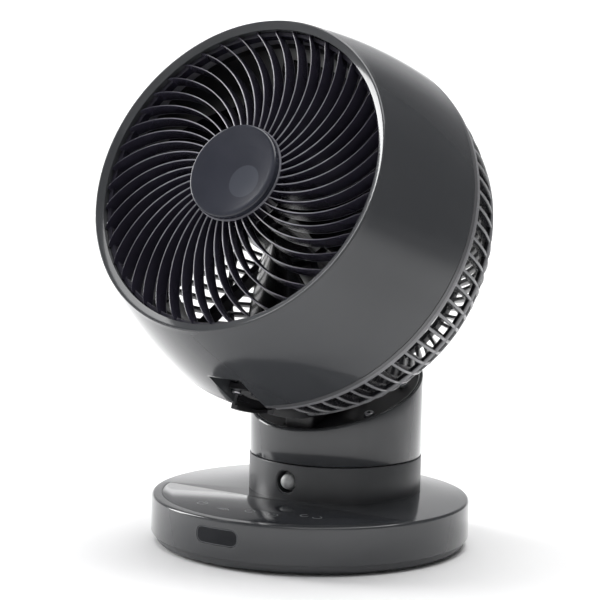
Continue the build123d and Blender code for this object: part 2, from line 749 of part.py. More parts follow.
def build_front_grille():
    """Deep curved fins between a hub and a rim ring."""
    hub_outer = cap_radius + 0.5
    rim_inner = rim_radius - 2.4
    back_z = fin_front_z - fin_depth
    shoulder = 1.6
    reach = rim_radius - slip - 0.1
    envelope = turned(Curve() + [
        Line((hub_outer - 1, back_z), (hub_outer - 1, fin_front_z)),
        Line((hub_outer - 1, fin_front_z), (reach - shoulder, fin_front_z - 0.8)),
        JernArc((reach - shoulder, fin_front_z - 0.8), (1, 0), shoulder, -90),
        Line((reach, fin_front_z - 0.8 - shoulder), (reach, back_z)),
        Line((reach, back_z), (hub_outer - 1, back_z)),
    ])
    fin = ring(
        fin_curve_radius + fin_thickness / 2,
        fin_curve_radius - fin_thickness / 2,
        back_z - 1,
        fin_front_z + 2,
        0,
        fin_curve_offset,
    )
    fin &= block(10, 120, -20, fin_curve_offset + 3, back_z - 2, fin_front_z + 3)
    fin &= envelope
    fins = [Rot(0, 0, 360 / fin_count * index) * fin for index in range(fin_count)]
    grille = ring(hub_outer, hub_outer - 2.2, back_z, fin_front_z + 0.4)
    grille += disc(hub_outer - 1, back_z, back_z + 2)
    grille += ring(rim_radius - slip, rim_inner, back_z - 4, fin_front_z - 4.5)
    return grille + fins


def build_hub_cap():
    """The dished cap over the grille's hub."""
    face_z = lip_z + cap_stand_out
    low = fin_front_z + 0.6
    cap = disc(cap_radius, low, face_z)
    cap = fillet(cap.edges().group_by(Axis.Z)[-1], 1.2)
    dish_depth = 1.6
    dish_reach = cap_radius - 2.0
    dish_radius = (dish_reach ** 2 + dish_depth ** 2) / (2 * dish_depth)
    cap -= Pos(0, 0, face_z - dish_depth + dish_radius) * Sphere(dish_radius)
    spigot = ring(cap_radius - 2.4, cap_radius - 4.4, fin_front_z - fin_depth + 2.2, low + 0.5)
    return cap + spigot


def dome_point(radius):
    """The height of the dome's outer surface at a radius."""
    return shell_rear_z - dome_depth * sqrt(1 - (radius / dome_radius) ** 2)


grille_ring_z = shell_rear_z - 3.6
dome_hoops = [(54.0, 3.0), (82.0, 2.2), (rail_inner_radius + 0.5, 2.2)]


def rib(inner_radius):
    """One meridian rib of the dome, ending at a radius."""
    outer = Pos(0, shell_rear_z) * Ellipse(dome_radius, dome_depth)
    inner = Pos(0, shell_rear_z) * Ellipse(dome_radius - rib_depth, dome_depth - rib_depth)
    reach = dome_radius - inner_radius
    window = Pos(inner_radius + reach / 2 + 1, grille_ring_z + 0.5 - 60) * Rectangle(reach + 2, 120)
    face = (outer - inner) & window
    return extrude(Plane.XZ * face, rib_thickness / 2, both=True)


def dome_ring(radius, width):
    """A ring of square section let into the ribs' inner edges."""
    top = dome_point(radius) + 1.2
    return ring(radius + width / 2, radius - width / 2, top, top + width + 1.4)


def build_rear_grille():
    """The rear dome: a front ring, meridian ribs, hoops and a centre disc."""
    split_radius = dome_hoops[0][0]
    hub = cap_radius
    ribs = []
    for index in range(rib_count):
        inner = hub - 1.5 if index % 2 == 0 else split_radius
        ribs.append(Rot(0, 0, 360 / rib_count * (index + 0.5)) * rib(inner))
    grille = ring(shell_rear_radius - 0.3, shell_rear_radius - 5.6, grille_ring_z, shell_rear_z - 0.2)
    wall = shell_radius_at(shell_rear_z + 3.5) - shell_wall - slip
    grille += ring(wall, wall - 2.0, grille_ring_z + 1, shell_rear_z + 3.5)
    ears = [place * disc(4.6, grille_ring_z, shell_rear_z - 0.2) for place in grille_screw_places]
    hoops = [dome_ring(radius, width) for radius, width in dome_hoops]
    hub_top = dome_point(hub) + 0.5
    centre = ring(hub + 1, hub - 2, hub_top, rear_disc_z + 3) + disc(hub, rear_disc_z, rear_disc_z + 3)
    grille = grille + ears + hoops + [centre] + ribs
    grille -= [place * disc(screw_hole_radius, -30, 0) for place in grille_screw_places]
    half = rail_half + slip
    far = -rail_outer_radius - 25
    frame_reach = frame_rear_y - tilt_centre_y + 1.5
    rail_way = block(-half, half, far, frame_reach, far, shell_rear_z + 4)
    beyond = rod(rail_inner_radius - 0.3, -half - 1, half + 1, 0, 0)
    return grille - (rail_way - beyond)


# ---------------------------------------------------------------- air path and motor
motor_front_z = -8.0
motor_length = 30.0
motor_rear_z = motor_front_z - motor_length
cup_radius = motor_radius + slip
bracket_z = duct_flange_z - 4.0
board_gap = 8.0
board_places = around(3, motor_radius - 8.0, 30)


def below_rail(shape):
    """Leave room for the recess and the rail at the bottom of the head."""
    half = channel_half + slip + recess_wall + slip
    return shape - block(-half, half, -rail_outer_radius - 25, -recess_floor + recess_wall + slip, -40, 25)


def build_duct():
    """The air duct round the impeller, with a flared mouth and a flange behind."""
    front = lip_z - 16.2
    flange_radius = shell_radius_at(duct_flange_z + 2.5) - shell_wall - 1.0
    outline = [
        (duct_radius, duct_flange_z + 4),
        (duct_radius, front),
        (rim_radius + 1.8, front),
        (rim_radius + 1.8, front - 2),
        (duct_radius + 2, front - 6),
        (duct_radius + 2, duct_flange_z + 6),
        (duct_radius + 8, duct_flange_z + 2.5),
        (flange_radius, duct_flange_z + 2.5),
        (flange_radius, duct_flange_z),
        (duct_radius + 7, duct_flange_z),
    ]
    duct = below_rail(turned(outline))
    return duct - [place * disc(screw_hole_radius, -20, 20) for place in bracket_places]


def build_bracket():
    """The spider that holds the motor in the middle of the duct."""
    outer = shell_radius_at(shell_rear_z + 3.5) - shell_wall - slip - 2.5
    inner = screw_ring - 7.0
    bracket = ring(outer, inner, bracket_z, duct_flange_z)
    bracket += ring(cup_radius + 2.5, cup_radius, motor_rear_z, duct_flange_z)
    bracket += ring(cup_radius + 1, 10.0, motor_rear_z - 2.5, motor_rear_z)
    arm = block(cup_radius + 1.5, inner + 2, -2.0, 2.0, bracket_z - 4, duct_flange_z)
    bracket += [Rot(0, 0, 90 + 72 * index) * arm for index in range(5)]
    bracket += [place * disc(3.6, shell_rear_z - 0.2, duct_flange_z) for place in grille_screw_places]
    bracket -= [place * disc(screw_hole_radius, -40, 20) for place in bracket_places]
    bracket -= [place * disc(screw_radius + 0.05, -40, 20) for place in grille_screw_places]
    pillar = disc(motor_post_radius, motor_rear_z - board_gap, motor_rear_z - 1)
    bracket += [place * pillar for place in board_places]
    bracket -= [place * disc(small_hole_radius, -60, 0) for place in board_places]
    return below_rail(bracket)


def blade():
    """One swept, twisted blade, drawn outwards along X before it is trimmed to the hub and tip."""
    sections = []
    middle = (impeller_low_z + impeller_high_z) / 2
    root = (impeller_hub_radius - 7.0, 26.0, 52.0, -4.0)
    waist = (48.0, 54.0, 36.0, 0.0)
    tip = (impeller_radius + 8.5, 84.0, 27.0, 12.0)
    for reach, chord, pitch, sweep in (root, waist, tip):
        plane = Plane(origin=(reach, sweep, middle), x_dir=(0, 1, 0), z_dir=(1, 0, 0))
        sections.append(plane * Rot(0, 0, pitch) * RectangleRounded(chord, 2.0, 0.9))
    return loft(sections)


impeller_low_z, impeller_high_z = 4.0, 40.0


def build_impeller():
    """A cup-shaped hub with five wide blades."""
    hub = disc(impeller_hub_radius, impeller_low_z - 6, impeller_high_z - 2)
    hub = fillet(hub.edges().group_by(Axis.Z)[-1], 5.0)
    cup = disc(impeller_hub_radius - 2.2, impeller_low_z - 7, impeller_high_z - 5)
    boss = disc(6.0, impeller_low_z, impeller_high_z - 3)
    trim = ring(impeller_radius, impeller_hub_radius - 1.2, impeller_low_z - 4, impeller_high_z + 2)
    trimmed = blade() & trim
    blades = [Rot(0, 0, 360 / blade_count * index - 3) * trimmed for index in range(blade_count)]
    wheel = (hub - cup) + boss + blades
    return wheel - disc(shaft_radius, -60, 60)


def build_motor_housing():
    """The motor's can: a closed cup with bearing seats front and rear."""
    can = disc(motor_radius, motor_rear_z, motor_front_z)
    can = fillet(can.edges().group_by(Axis.Z)[-1], 1.5)
    can -= disc(motor_radius - 1.8, motor_rear_z + 2, motor_front_z - 2)
    seat = bearing_radius + 3.0
    can += disc(seat, motor_front_z - 2.5, motor_front_z + 3) + disc(seat, motor_rear_z, motor_rear_z + 6)
    can -= disc(bearing_radius, motor_front_z - 3, motor_front_z + 2.0)
    can -= disc(bearing_radius, motor_rear_z + 1.0, motor_rear_z + 7)
    can -= disc(shaft_radius + 1.0, -60, 60)
    board_hole = disc(small_hole_radius, motor_rear_z - 1, motor_rear_z + 3)
    return can - [place * board_hole for place in board_places]


bearing_radius = shaft_radius + 4.0
bearing_width = 5.0


def build_bearing(low):
    """A shielded ball bearing drawn as a stepped ring."""
    race = ring(bearing_radius, shaft_radius + running, low, low + bearing_width)
    groove = ring(bearing_radius - 1.2, shaft_radius + 1.3, low - 1, low + 0.3)
    return race - groove - Pos(0, 0, bearing_width + 0.7) * groove


rotor_radius = motor_radius - 11.6


def build_stator():
    """A laminated core with six wound teeth."""
    low, high = motor_rear_z + 8, motor_front_z - 5
    core = ring(motor_radius - 1.9, motor_radius - 5, low + 2, high - 2)
    tooth = block(rotor_radius + 0.8, motor_radius - 4, -1.6, 1.6, low + 2, high - 2)
    winding = block(rotor_radius + 1.8, motor_radius - 5.6, -4.2, 4.2, low, high)
    return core + [Rot(0, 0, 60 * index) * (tooth + winding) for index in range(6)]


def build_rotor():
    """The magnet drum on the shaft."""
    return ring(rotor_radius, shaft_radius, motor_rear_z + 9, motor_front_z - 6)


def build_shaft():
    """The motor shaft, from the rear bearing to the nut."""
    shaft = disc(shaft_radius, motor_rear_z + 1.5, impeller_high_z + 6)
    return chamfer(shaft.edges().group_by(Axis.Z)[-1], 0.4)


def build_nut():
    """The domed nut that holds the impeller."""
    low = impeller_high_z - 2.0
    nut = extrude(RegularPolygon(6.0, 6), 4.0)
    nut += Pos(0, 0, 4.0) * (Sphere(4.8) & disc(6, 0, 6))
    return Pos(0, 0, low) * nut - disc(shaft_radius, 0, impeller_high_z + 6.0)


def build_motor_board():
    """The commutation board behind the motor, on three pillars."""
    low = motor_rear_z - board_gap - 1.6
    board = ring(motor_radius - 2.0, shaft_radius + 2.5, low, low + 1.6)
    board -= [place * disc(small_hole_radius, low - 1, low + 3) for place in board_places]
    return board + block(-5, 5, 8, 15, low - 1.8, low) + block(8, 14, -8, 2, low - 2.5, low)


def build_window():
    """The remote control window, curved with the base and flanged behind its wall."""
    window = window_prism(slip, base_radius - 8, base_radius + 1)
    window &= ring(base_radius - 0.15, base_radius - 4.0, 0, 30)
    flange = window_prism(-0.9, base_radius - 8, base_radius + 1)
    flange &= ring(base_radius - base_wall - slip, base_radius - 4.0, 0, 30)
    return window + flange


def build_receiver():
    """The infrared receiver on its small upright board."""
    board = block(-6, 6, receiver_y + 2.2, receiver_y + 3.8, window_z - 4, window_z + 4.5)
    body = block(-3, 3, receiver_y, receiver_y + 2.3, window_z - 3, window_z + 3.5)
    lens = Pos(0, receiver_y + 0.6, window_z) * Sphere(2.0)
    return board + body + lens


def build_ballast():
    """The steel weight in the front of the base."""
    weight = disc(ballast_radius, plate_top_z, plate_top_z + ballast_thickness, 0, ballast_y)
    weight = chamfer(weight.edges().group_by(Axis.Z)[-1], 0.8)
    return weight - [place * disc(screw_hole_radius, 0, 20) for place in ballast_screw_places]


def flip(z):
    """Turn a screw over so that its head hangs below z."""
    return Pos(0, 0, z) * Rot(180, 0, 0)


# ---------------------------------------------------------------- write every node
def write_base():
    save("base_cover", build_base_cover())
    save("base_plate", build_base_plate())
    feet = [place * disc(foot_radius, 0, 2.0) for place in foot_places]
    save_group("rubber_feet", feet)
    save_group("base_screws", [place * flip(3.2) * screw(14) for place in base_screw_places])
    save("ballast_weight", build_ballast())
    ballast_screw = Pos(0, 0, plate_top_z + ballast_thickness) * screw(9.5)
    save_group("ballast_screws", [place * ballast_screw for place in ballast_screw_places])
    panel = extrude(panel_shape(slip), panel_thickness)
    save("touch_panel", Pos(0, 0, base_top_z - panel_thickness) * panel)
    save("panel_board", build_panel_board())
    save("remote_window", build_window())
    save("remote_receiver", build_receiver())
    save("main_board", build_main_board())
    small_screw = screw(7, small_screw_radius, small_head_radius)
    board_screws = [Pos(x, y, main_board_z + 1.6) * small_screw for x, y in main_board_posts]
    save_group("board_screws", board_screws)
    save("power_inlet", build_jack())
    motor = geared_motor(swivel_motor_radius, swivel_motor_length)
    save("swivel_motor", Pos(*swivel_motor_xy, swivel_motor_top_z) * motor)
    ear_screws = [Pos(x, y, swivel_motor_top_z) * small_screw for x, y in swivel_ear_places]
    save_group("swivel_motor_screws", ear_screws)


def write_neck():
    save("neck_collar", build_collar())
    save_group("collar_screws", [place * flip(base_roof_z) * screw(5) for place in collar_screw_places])
    save("sensor_cup", build_sensor_cup())
    save("sensor_lens", build_sensor_lens())
    save("sensor_can", build_sensor_can())
    bearing = ring(bearing_outer, bearing_inner, collar_deck_top_z, yoke_bottom_z - 0.3, 0, neck_y)
    save("swivel_bearing", bearing)
    save("swivel_pinion", build_swivel_pinion())
    save("swivel_gear", build_swivel_gear())
    save("swivel_spindle", build_spindle())
    spindle_screws = [Pos(x, y, spindle_top_z) * screw(4.5) for x, y in spindle_screw_places]
    save_group("spindle_screws", spindle_screws)
    save("yoke", build_yoke())
    save("yoke_deck", build_deck())
    save_group("deck_screws", [place * screw(8) for place in deck_screw_places])
    save("tilt_frame", build_tilt_frame())
    frame_screws = [Pos(x, y, frame_bar_top_z) * screw(6.5) for x, y in frame_screw_places]
    save_group("frame_screws", frame_screws)


def write_tilt_drive():
    save("tilt_motor", build_tilt_motor())
    ear_x = frame_width / 2 + slip + motor_ear_thickness
    ear_screws = [
        Pos(ear_x, *place) * Rot(0, 90, 0) * screw(5, small_screw_radius, small_head_radius)
        for place in tilt_ear_places
    ]
    save_group("tilt_motor_screws", ear_screws)
    save("tilt_drive_pinion", build_drive_pinion())
    save("tilt_idler", side_gear(idler_teeth, idler_phase, idler_yz, axle_radius + running))
    save("tilt_pinion", side_gear(pinion_teeth, pinion_phase, pinion_yz, axle_radius + running))
    half = frame_width / 2
    save_group("gear_axles", [rod(axle_radius, -half, half, *place) for place in (pinion_yz, idler_yz)])
    reach = channel_half + 2.1
    pin_places = [arc_point(guide_pin_track, angle) for angle in guide_pin_angles]
    save_group("guide_pins", [rod(guide_pin_radius, -reach, reach, *place) for place in pin_places])
    save("tilt_rail", build_rail(), head_place)
    save_group("rail_screws", [place * screw(5) for place in rail_screw_places()], head_place)


def write_head():
    save("head_shell", build_shell(), head_place)
    save("front_grille", build_front_grille(), head_place)
    save("hub_cap", build_hub_cap(), head_place)
    save("rear_grille", build_rear_grille(), head_place)
    save("air_duct", build_duct(), head_place)
    save("motor_bracket", build_bracket(), head_place)
    bracket_screws = [place * flip(bracket_z) * screw(17) for place in bracket_places]
    save_group("bracket_screws", bracket_screws, head_place)
    grille_screws = [place * flip(grille_ring_z) * screw(7) for place in grille_screw_places]
    save_group("grille_screws", grille_screws, head_place)
    save("motor_housing", build_motor_housing(), head_place)
    save("motor_stator", build_stator(), head_place)
    lows = (motor_rear_z + 1.0, motor_front_z - 3.0)
    save_group("motor_bearings", [build_bearing(low) for low in lows], head_place)
    save("motor_board", build_motor_board(), head_place)
    board_rear = motor_rear_z - board_gap - 1.6
    long_screw = flip(board_rear) * screw(12, small_screw_radius, small_head_radius)
    save_group("motor_screws", [place * long_screw for place in board_places], head_place)
    save("motor_rotor", build_rotor(), head_place)
    save("motor_shaft", build_shaft(), head_place)
    save("impeller", build_impeller(), head_place)
    save("impeller_nut", build_nut(), head_place)


write_base()
write_neck()
write_tilt_drive()
write_head()
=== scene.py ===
"""Looks of the globe-type desk air circulator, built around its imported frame."""

import json
import logging
import math
from dataclasses import dataclass, field
from enum import Enum
from typing import Callable, Iterable, Optional, Sequence, Union

import bmesh
import bpy
from mathutils import Matrix, Vector


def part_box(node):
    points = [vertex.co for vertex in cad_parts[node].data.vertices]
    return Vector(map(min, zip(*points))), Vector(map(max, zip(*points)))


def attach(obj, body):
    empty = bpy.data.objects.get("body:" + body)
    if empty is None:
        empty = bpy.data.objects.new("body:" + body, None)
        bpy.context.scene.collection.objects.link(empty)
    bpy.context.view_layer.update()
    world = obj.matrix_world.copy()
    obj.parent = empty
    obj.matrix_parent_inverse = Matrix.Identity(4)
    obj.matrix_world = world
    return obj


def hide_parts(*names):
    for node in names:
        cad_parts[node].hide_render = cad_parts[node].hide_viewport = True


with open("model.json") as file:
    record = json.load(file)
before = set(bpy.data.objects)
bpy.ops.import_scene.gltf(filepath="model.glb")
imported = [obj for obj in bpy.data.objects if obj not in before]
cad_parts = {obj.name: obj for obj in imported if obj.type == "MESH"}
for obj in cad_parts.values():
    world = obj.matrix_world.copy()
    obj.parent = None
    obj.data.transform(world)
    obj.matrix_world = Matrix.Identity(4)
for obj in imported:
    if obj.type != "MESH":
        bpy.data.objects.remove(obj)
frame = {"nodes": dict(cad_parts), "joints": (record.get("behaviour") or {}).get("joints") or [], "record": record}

log = logging.getLogger("air_circulator")

MM = 0.001
Colour = tuple[float, float, float]
Point = tuple[float, float]
Number = Union["Value", float]


class Body(Enum):
    """The moving bodies that pieces ride on."""

    BASE = "base"
    YOKE = "yoke"
    HEAD = "head"
    IMPELLER = "impeller"


class Cut(Enum):
    """How one solid form changes another."""

    REMOVE = "DIFFERENCE"
    ADD = "UNION"
    COMMON = "INTERSECT"


# ---------------------------------------------------------------- shader sums
class Value:
    """One number that a material works out over a surface."""

    def __init__(self, surface: "Surface", socket: bpy.types.NodeSocket) -> None:
        """Keep the socket that gives the number."""
        self.surface = surface
        self.socket = socket

    def _sum(self, operation: str, first: Number, second: Number) -> "Value":
        """Add one Math node and return what it gives."""
        node = self.surface.node(
            "ShaderNodeMath", {"operation": operation}, {0: first, 1: second}
        )
        return Value(self.surface, node.outputs[0])

    def __add__(self, other: Number) -> "Value":
        """Sum."""
        return self._sum("ADD", self, other)

    __radd__ = __add__

    def __sub__(self, other: Number) -> "Value":
        """Difference."""
        return self._sum("SUBTRACT", self, other)

    def __rsub__(self, other: Number) -> "Value":
        """Difference, reflected."""
        return self._sum("SUBTRACT", other, self)

    def __mul__(self, other: Number) -> "Value":
        """Product."""
        return self._sum("MULTIPLY", self, other)

    __rmul__ = __mul__

    def __truediv__(self, other: Number) -> "Value":
        """Quotient."""
        return self._sum("DIVIDE", self, other)

    def __rtruediv__(self, other: Number) -> "Value":
        """Quotient, reflected."""
        return self._sum("DIVIDE", other, self)

    def __pow__(self, other: Number) -> "Value":
        """Power."""
        return self._sum("POWER", self, other)

    def at_least(self, other: Number) -> "Value":
        """The larger of the two."""
        return self._sum("MAXIMUM", self, other)

    def over(self, low: float, high: float) -> "Value":
        """A smooth step from 0 at low to 1 at high."""
        node = self.surface.node(
            "ShaderNodeMapRange",
            {"interpolation_type": "SMOOTHSTEP", "clamp": True},
            {"Value": self, "From Min": low, "From Max": high},
        )
        return Value(self.surface, node.outputs[0])


class Surface:
    """A material under construction, with its nodes."""

    def __init__(self, name: str) -> None:
        """Start a material with an empty Principled shader."""
        self.material = bpy.data.materials.new(name)
        self.material.use_nodes = True
        self.tree = self.material.node_tree
        self.shader = self.tree.nodes["Principled BSDF"]
        self.point = self.node("ShaderNodeTexCoord").outputs["Object"]

    def node(
        self,
        kind: str,
        settings: Optional[dict] = None,
        inputs: Optional[dict] = None,
    ) -> bpy.types.Node:
        """Add a node.

        Args:
            kind: the node's type.
            settings: its properties, which are set first.
            inputs: values, sockets or Values for its sockets, by name or number.

        Returns:
            The node.
        """
        node = self.tree.nodes.new(kind)
        for key, value in (settings or {}).items():
            setattr(node, key, value)
        for key, value in (inputs or {}).items():
            self.feed(node.inputs[key], value)
        return node

    def feed(self, socket: bpy.types.NodeSocket, value: object) -> None:
        """Link a socket or a Value to a socket, or set a plain number or colour on it."""
        if isinstance(value, Value):
            value = value.socket
        if isinstance(value, bpy.types.NodeSocket):
            self.tree.links.new(value, socket)
        elif isinstance(value, tuple) and socket.type == "RGBA":
            socket.default_value = (*value[:3], 1.0)
        else:
            socket.default_value = value

    def noise(self, size: float, detail: float = 2.0, stretch: Colour = (1, 1, 1)) -> Value:
        """Soft noise.

        Args:
            size: the size of its patches, in millimetres.
            detail: its octaves.
            stretch: how many times finer it is along each axis.

        Returns:
            The noise, about 0.5.
        """
        mapping = self.node(
            "ShaderNodeMapping", None, {"Vector": self.point, "Scale": Vector(stretch)}
        )
        node = self.node(
            "ShaderNodeTexNoise",
            None,
            {"Vector": mapping.outputs[0], "Scale": 1 / (size * MM), "Detail": detail},
        )
        return Value(self, node.outputs[0])

    def mix(self, first: object, second: object, share: Number) -> bpy.types.NodeSocket:
        """A colour between two others."""
        node = self.node("ShaderNodeMix", {"data_type": "RGBA"})
        self.feed(node.inputs[0], share)
        self.feed(node.inputs[6], first)
        self.feed(node.inputs[7], second)
        return node.outputs[2]

    def local(self, place: Matrix) -> list[Value]:
        """The surface point's three coordinates in millimetres in another frame.

        Args:
            place: the frame's placement, in metres and with a scale of millimetres.

        Returns:
            Its x, y and z.
        """
        origin = place.to_translation()
        away = self.node(
            "ShaderNodeVectorMath",
            {"operation": "SUBTRACT"},
            {0: self.point, 1: origin},
        ).outputs[0]
        found = []
        for column in place.to_3x3().normalized().transposed():
            dot = self.node(
                "ShaderNodeVectorMath", {"operation": "DOT_PRODUCT"}, {0: away, 1: column}
            )
            found.append(Value(self, dot.outputs["Value"]) * (1 / MM))
        return found

    def relief(self, height: Value, depth: float) -> bpy.types.NodeSocket:
        """A bumped normal.

        Args:
            height: the height over the surface, 0 to 1.
            depth: what 1 stands for, in millimetres.

        Returns:
            The Normal socket.
        """
        node = self.node(
            "ShaderNodeBump", None, {"Height": height, "Distance": depth * MM}
        )
        return node.outputs["Normal"]


# ---------------------------------------------------------------- finishes
@dataclass(frozen=True)
class Finish:
    """A moulded surface: colour with soft patches, and a grain that also moves the gloss."""

    slot: str
    colour: Colour
    shade: Colour
    roughness: float
    spread: float = 0.04
    patch: float = 45.0
    grain: float = 0.5
    depth: float = 0.004
    metallic: float = 0.0
    coat: float = 0.0
    specular: float = 0.5
    stretch: Colour = (1, 1, 1)

    def tint(self, surface: Surface, colour: bpy.types.NodeSocket) -> bpy.types.NodeSocket:
        """Change the patched colour; a plain moulding leaves it as it is."""
        return colour

    def build(self, name: str) -> bpy.types.Material:
        """Make the material.

        Args:
            name: the material's name.

        Returns:
            The material, with its nodes.
        """
        surface = Surface(name)
        shader = surface.shader
        patches = surface.noise(self.patch, 3.0).over(0.3, 0.7)
        grain = surface.noise(self.grain, 3.0, self.stretch)
        colour = self.tint(surface, surface.mix(self.colour, self.shade, patches))
        surface.feed(shader.inputs["Base Color"], colour)
        rough = (grain - 0.5) * (2 * self.spread) + patches * self.spread + self.roughness
        surface.feed(shader.inputs["Roughness"], rough)
        surface.feed(shader.inputs["Normal"], surface.relief(grain, self.depth))
        shader.inputs["Metallic"].default_value = self.metallic
        shader.inputs["Coat Weight"].default_value = self.coat
        shader.inputs["Coat Roughness"].default_value = 0.05
        shader.inputs["Specular IOR Level"].default_value = self.specular
        return surface.material


@dataclass(frozen=True)
class HighlitFins(Finish):
    """Dark fins with painted highlights along their front and back edges, standing in for light caught by their
    rounded edges.
    """

    place: Matrix = field(default_factory=Matrix)
    # the colour of the painted edge highlights
    edge: Colour = (0.26, 0.26, 0.29)
    front: float = 61.4
    reach: float = 0.9
    deep: float = 10.0

    def tint(self, surface: Surface, colour: bpy.types.NodeSocket) -> bpy.types.NodeSocket:
        """Paint the highlights: lighten the colour towards the front plane and near the back edges."""
        height = surface.local(self.place)[2]
        near = height.over(self.front - self.reach, self.front - 0.4 * self.reach)
        back = 1.0 - height.over(self.front - self.deep + 0.4, self.front - self.deep + 0.9)
        # noise breaks the painted highlights up unevenly
        highlight_breakup = surface.noise(6.0).over(0.2, 0.8) * 0.4 + 0.6
        return surface.mix(colour, self.edge, near.at_least(back) * highlight_breakup)


@dataclass(frozen=True)
class HighlitRibs(Finish):
    """Dark dome ribs with a painted highlight along their outer edges."""

    place: Matrix = field(default_factory=Matrix)
    # the colour of the painted highlight
    edge: Colour = (0.20, 0.20, 0.21)
    width: float = 103.7
    depth_of_dome: float = 96.0
    rim: float = -11.0

    def tint(self, surface: Surface, colour: bpy.types.NodeSocket) -> bpy.types.NodeSocket:
        """Paint the highlight: lighten the colour towards the dome's outer surface."""
        x, y, z = surface.local(self.place)
        across = (x * x + y * y) * (1 / self.width**2)
        along = (z - self.rim) * (1 / self.depth_of_dome)
        shell = (across + along * along) ** 0.5
        return surface.mix(colour, self.edge, shell.over(0.991, 0.9995))


@dataclass(frozen=True)
class DiscedCap(Finish):
    """A polished cap with a lighter disc set off its middle."""

    place: Matrix = field(default_factory=Matrix)
    middle: Colour = (0.05, 0.054, 0.068)
    centre: Point = (8.6, -5.2)
    radius: float = 9.4

    def tint(self, surface: Surface, colour: bpy.types.NodeSocket) -> bpy.types.NodeSocket:
        """Lighten the colour inside the disc."""
        x, y, _ = surface.local(self.place)
        x, y = x - self.centre[0], y - self.centre[1]
        away = (x * x + y * y) ** 0.5
        return surface.mix(self.middle, colour, away.over(self.radius - 0.5, self.radius))


@dataclass(frozen=True)
class BandedShell(Finish):
    """A polished shell with a lighter satin band at its rear edge and a black inside."""

    place: Matrix = field(default_factory=Matrix)
    band: Colour = (0.10, 0.10, 0.105)
    front: float = -8.4
    inside: Colour = (0.008, 0.008, 0.009)
    outline: tuple = ((105.0, -11.0), (89.0, 62.0))
    depth_of_lip: float = 16.2
    channel: Point = (10.4, -94.9)

    def tint(self, surface: Surface, colour: bpy.types.NodeSocket) -> bpy.types.NodeSocket:
        """Lighten the colour behind the groove, and blacken it inside the wall."""
        x, y, height = surface.local(self.place)
        (wide, rear), (narrow, lip) = self.outline
        wall = (height - rear) * ((narrow - wide) / (lip - rear)) + (wide - 1.5)
        radius = (x * x + y * y) ** 0.5
        behind = 1.0 - height.over(lip - self.depth_of_lip, lip - self.depth_of_lip + 0.1)
        half, floor = self.channel
        sideways = (x * x) ** 0.5
        open_way = (1.0 - sideways.over(half, half + 0.05)) * (1.0 - y.over(floor, floor + 0.05))
        within = (1.0 - (radius - wall).over(0.0, 0.1)) * behind * (1.0 - open_way)
        outer = surface.mix(self.band, colour, height.over(self.front - 0.1, self.front))
        return surface.mix(outer, self.inside, within)


@dataclass(frozen=True)
class HighlitWindow(Finish):
    """A dark window in a wall, with a fine painted highlight line round its outline, standing in for light caught
    by its bevel.
    """

    # the colour of the painted highlight line
    line: Colour = (0.16, 0.165, 0.175)
    size: Point = (27.0, 9.4)
    height: float = 17.6
    corner: float = 4.0

    def tint(self, surface: Surface, colour: bpy.types.NodeSocket) -> bpy.types.NodeSocket:
        """Paint the highlight: lighten the colour along the rounded outline."""
        x, _, z = surface.local(Matrix.Scale(MM, 4))
        z = z - self.height
        across = ((x * x) ** 0.5 - (self.size[0] / 2 - self.corner)).at_least(0.0)
        above = ((z * z) ** 0.5 - (self.size[1] / 2 - self.corner)).at_least(0.0)
        away = (across * across + above * above) ** 0.5 - self.corner
        return surface.mix(colour, self.line, away.over(-0.75, -0.4))


@dataclass(frozen=True)
class TracedBoard(Finish):
    """A circuit board: solder mask with darker copper runs under it."""

    def tint(self, surface: Surface, colour: bpy.types.NodeSocket) -> bpy.types.NodeSocket:
        """Draw the copper runs."""
        runs = surface.node(
            "ShaderNodeTexBrick",
            None,
            {"Vector": surface.point, "Scale": 220.0, "Mortar Size": 0.06},
        )
        return surface.mix(colour, (0.06, 0.22, 0.09), Value(surface, runs.outputs["Fac"]))


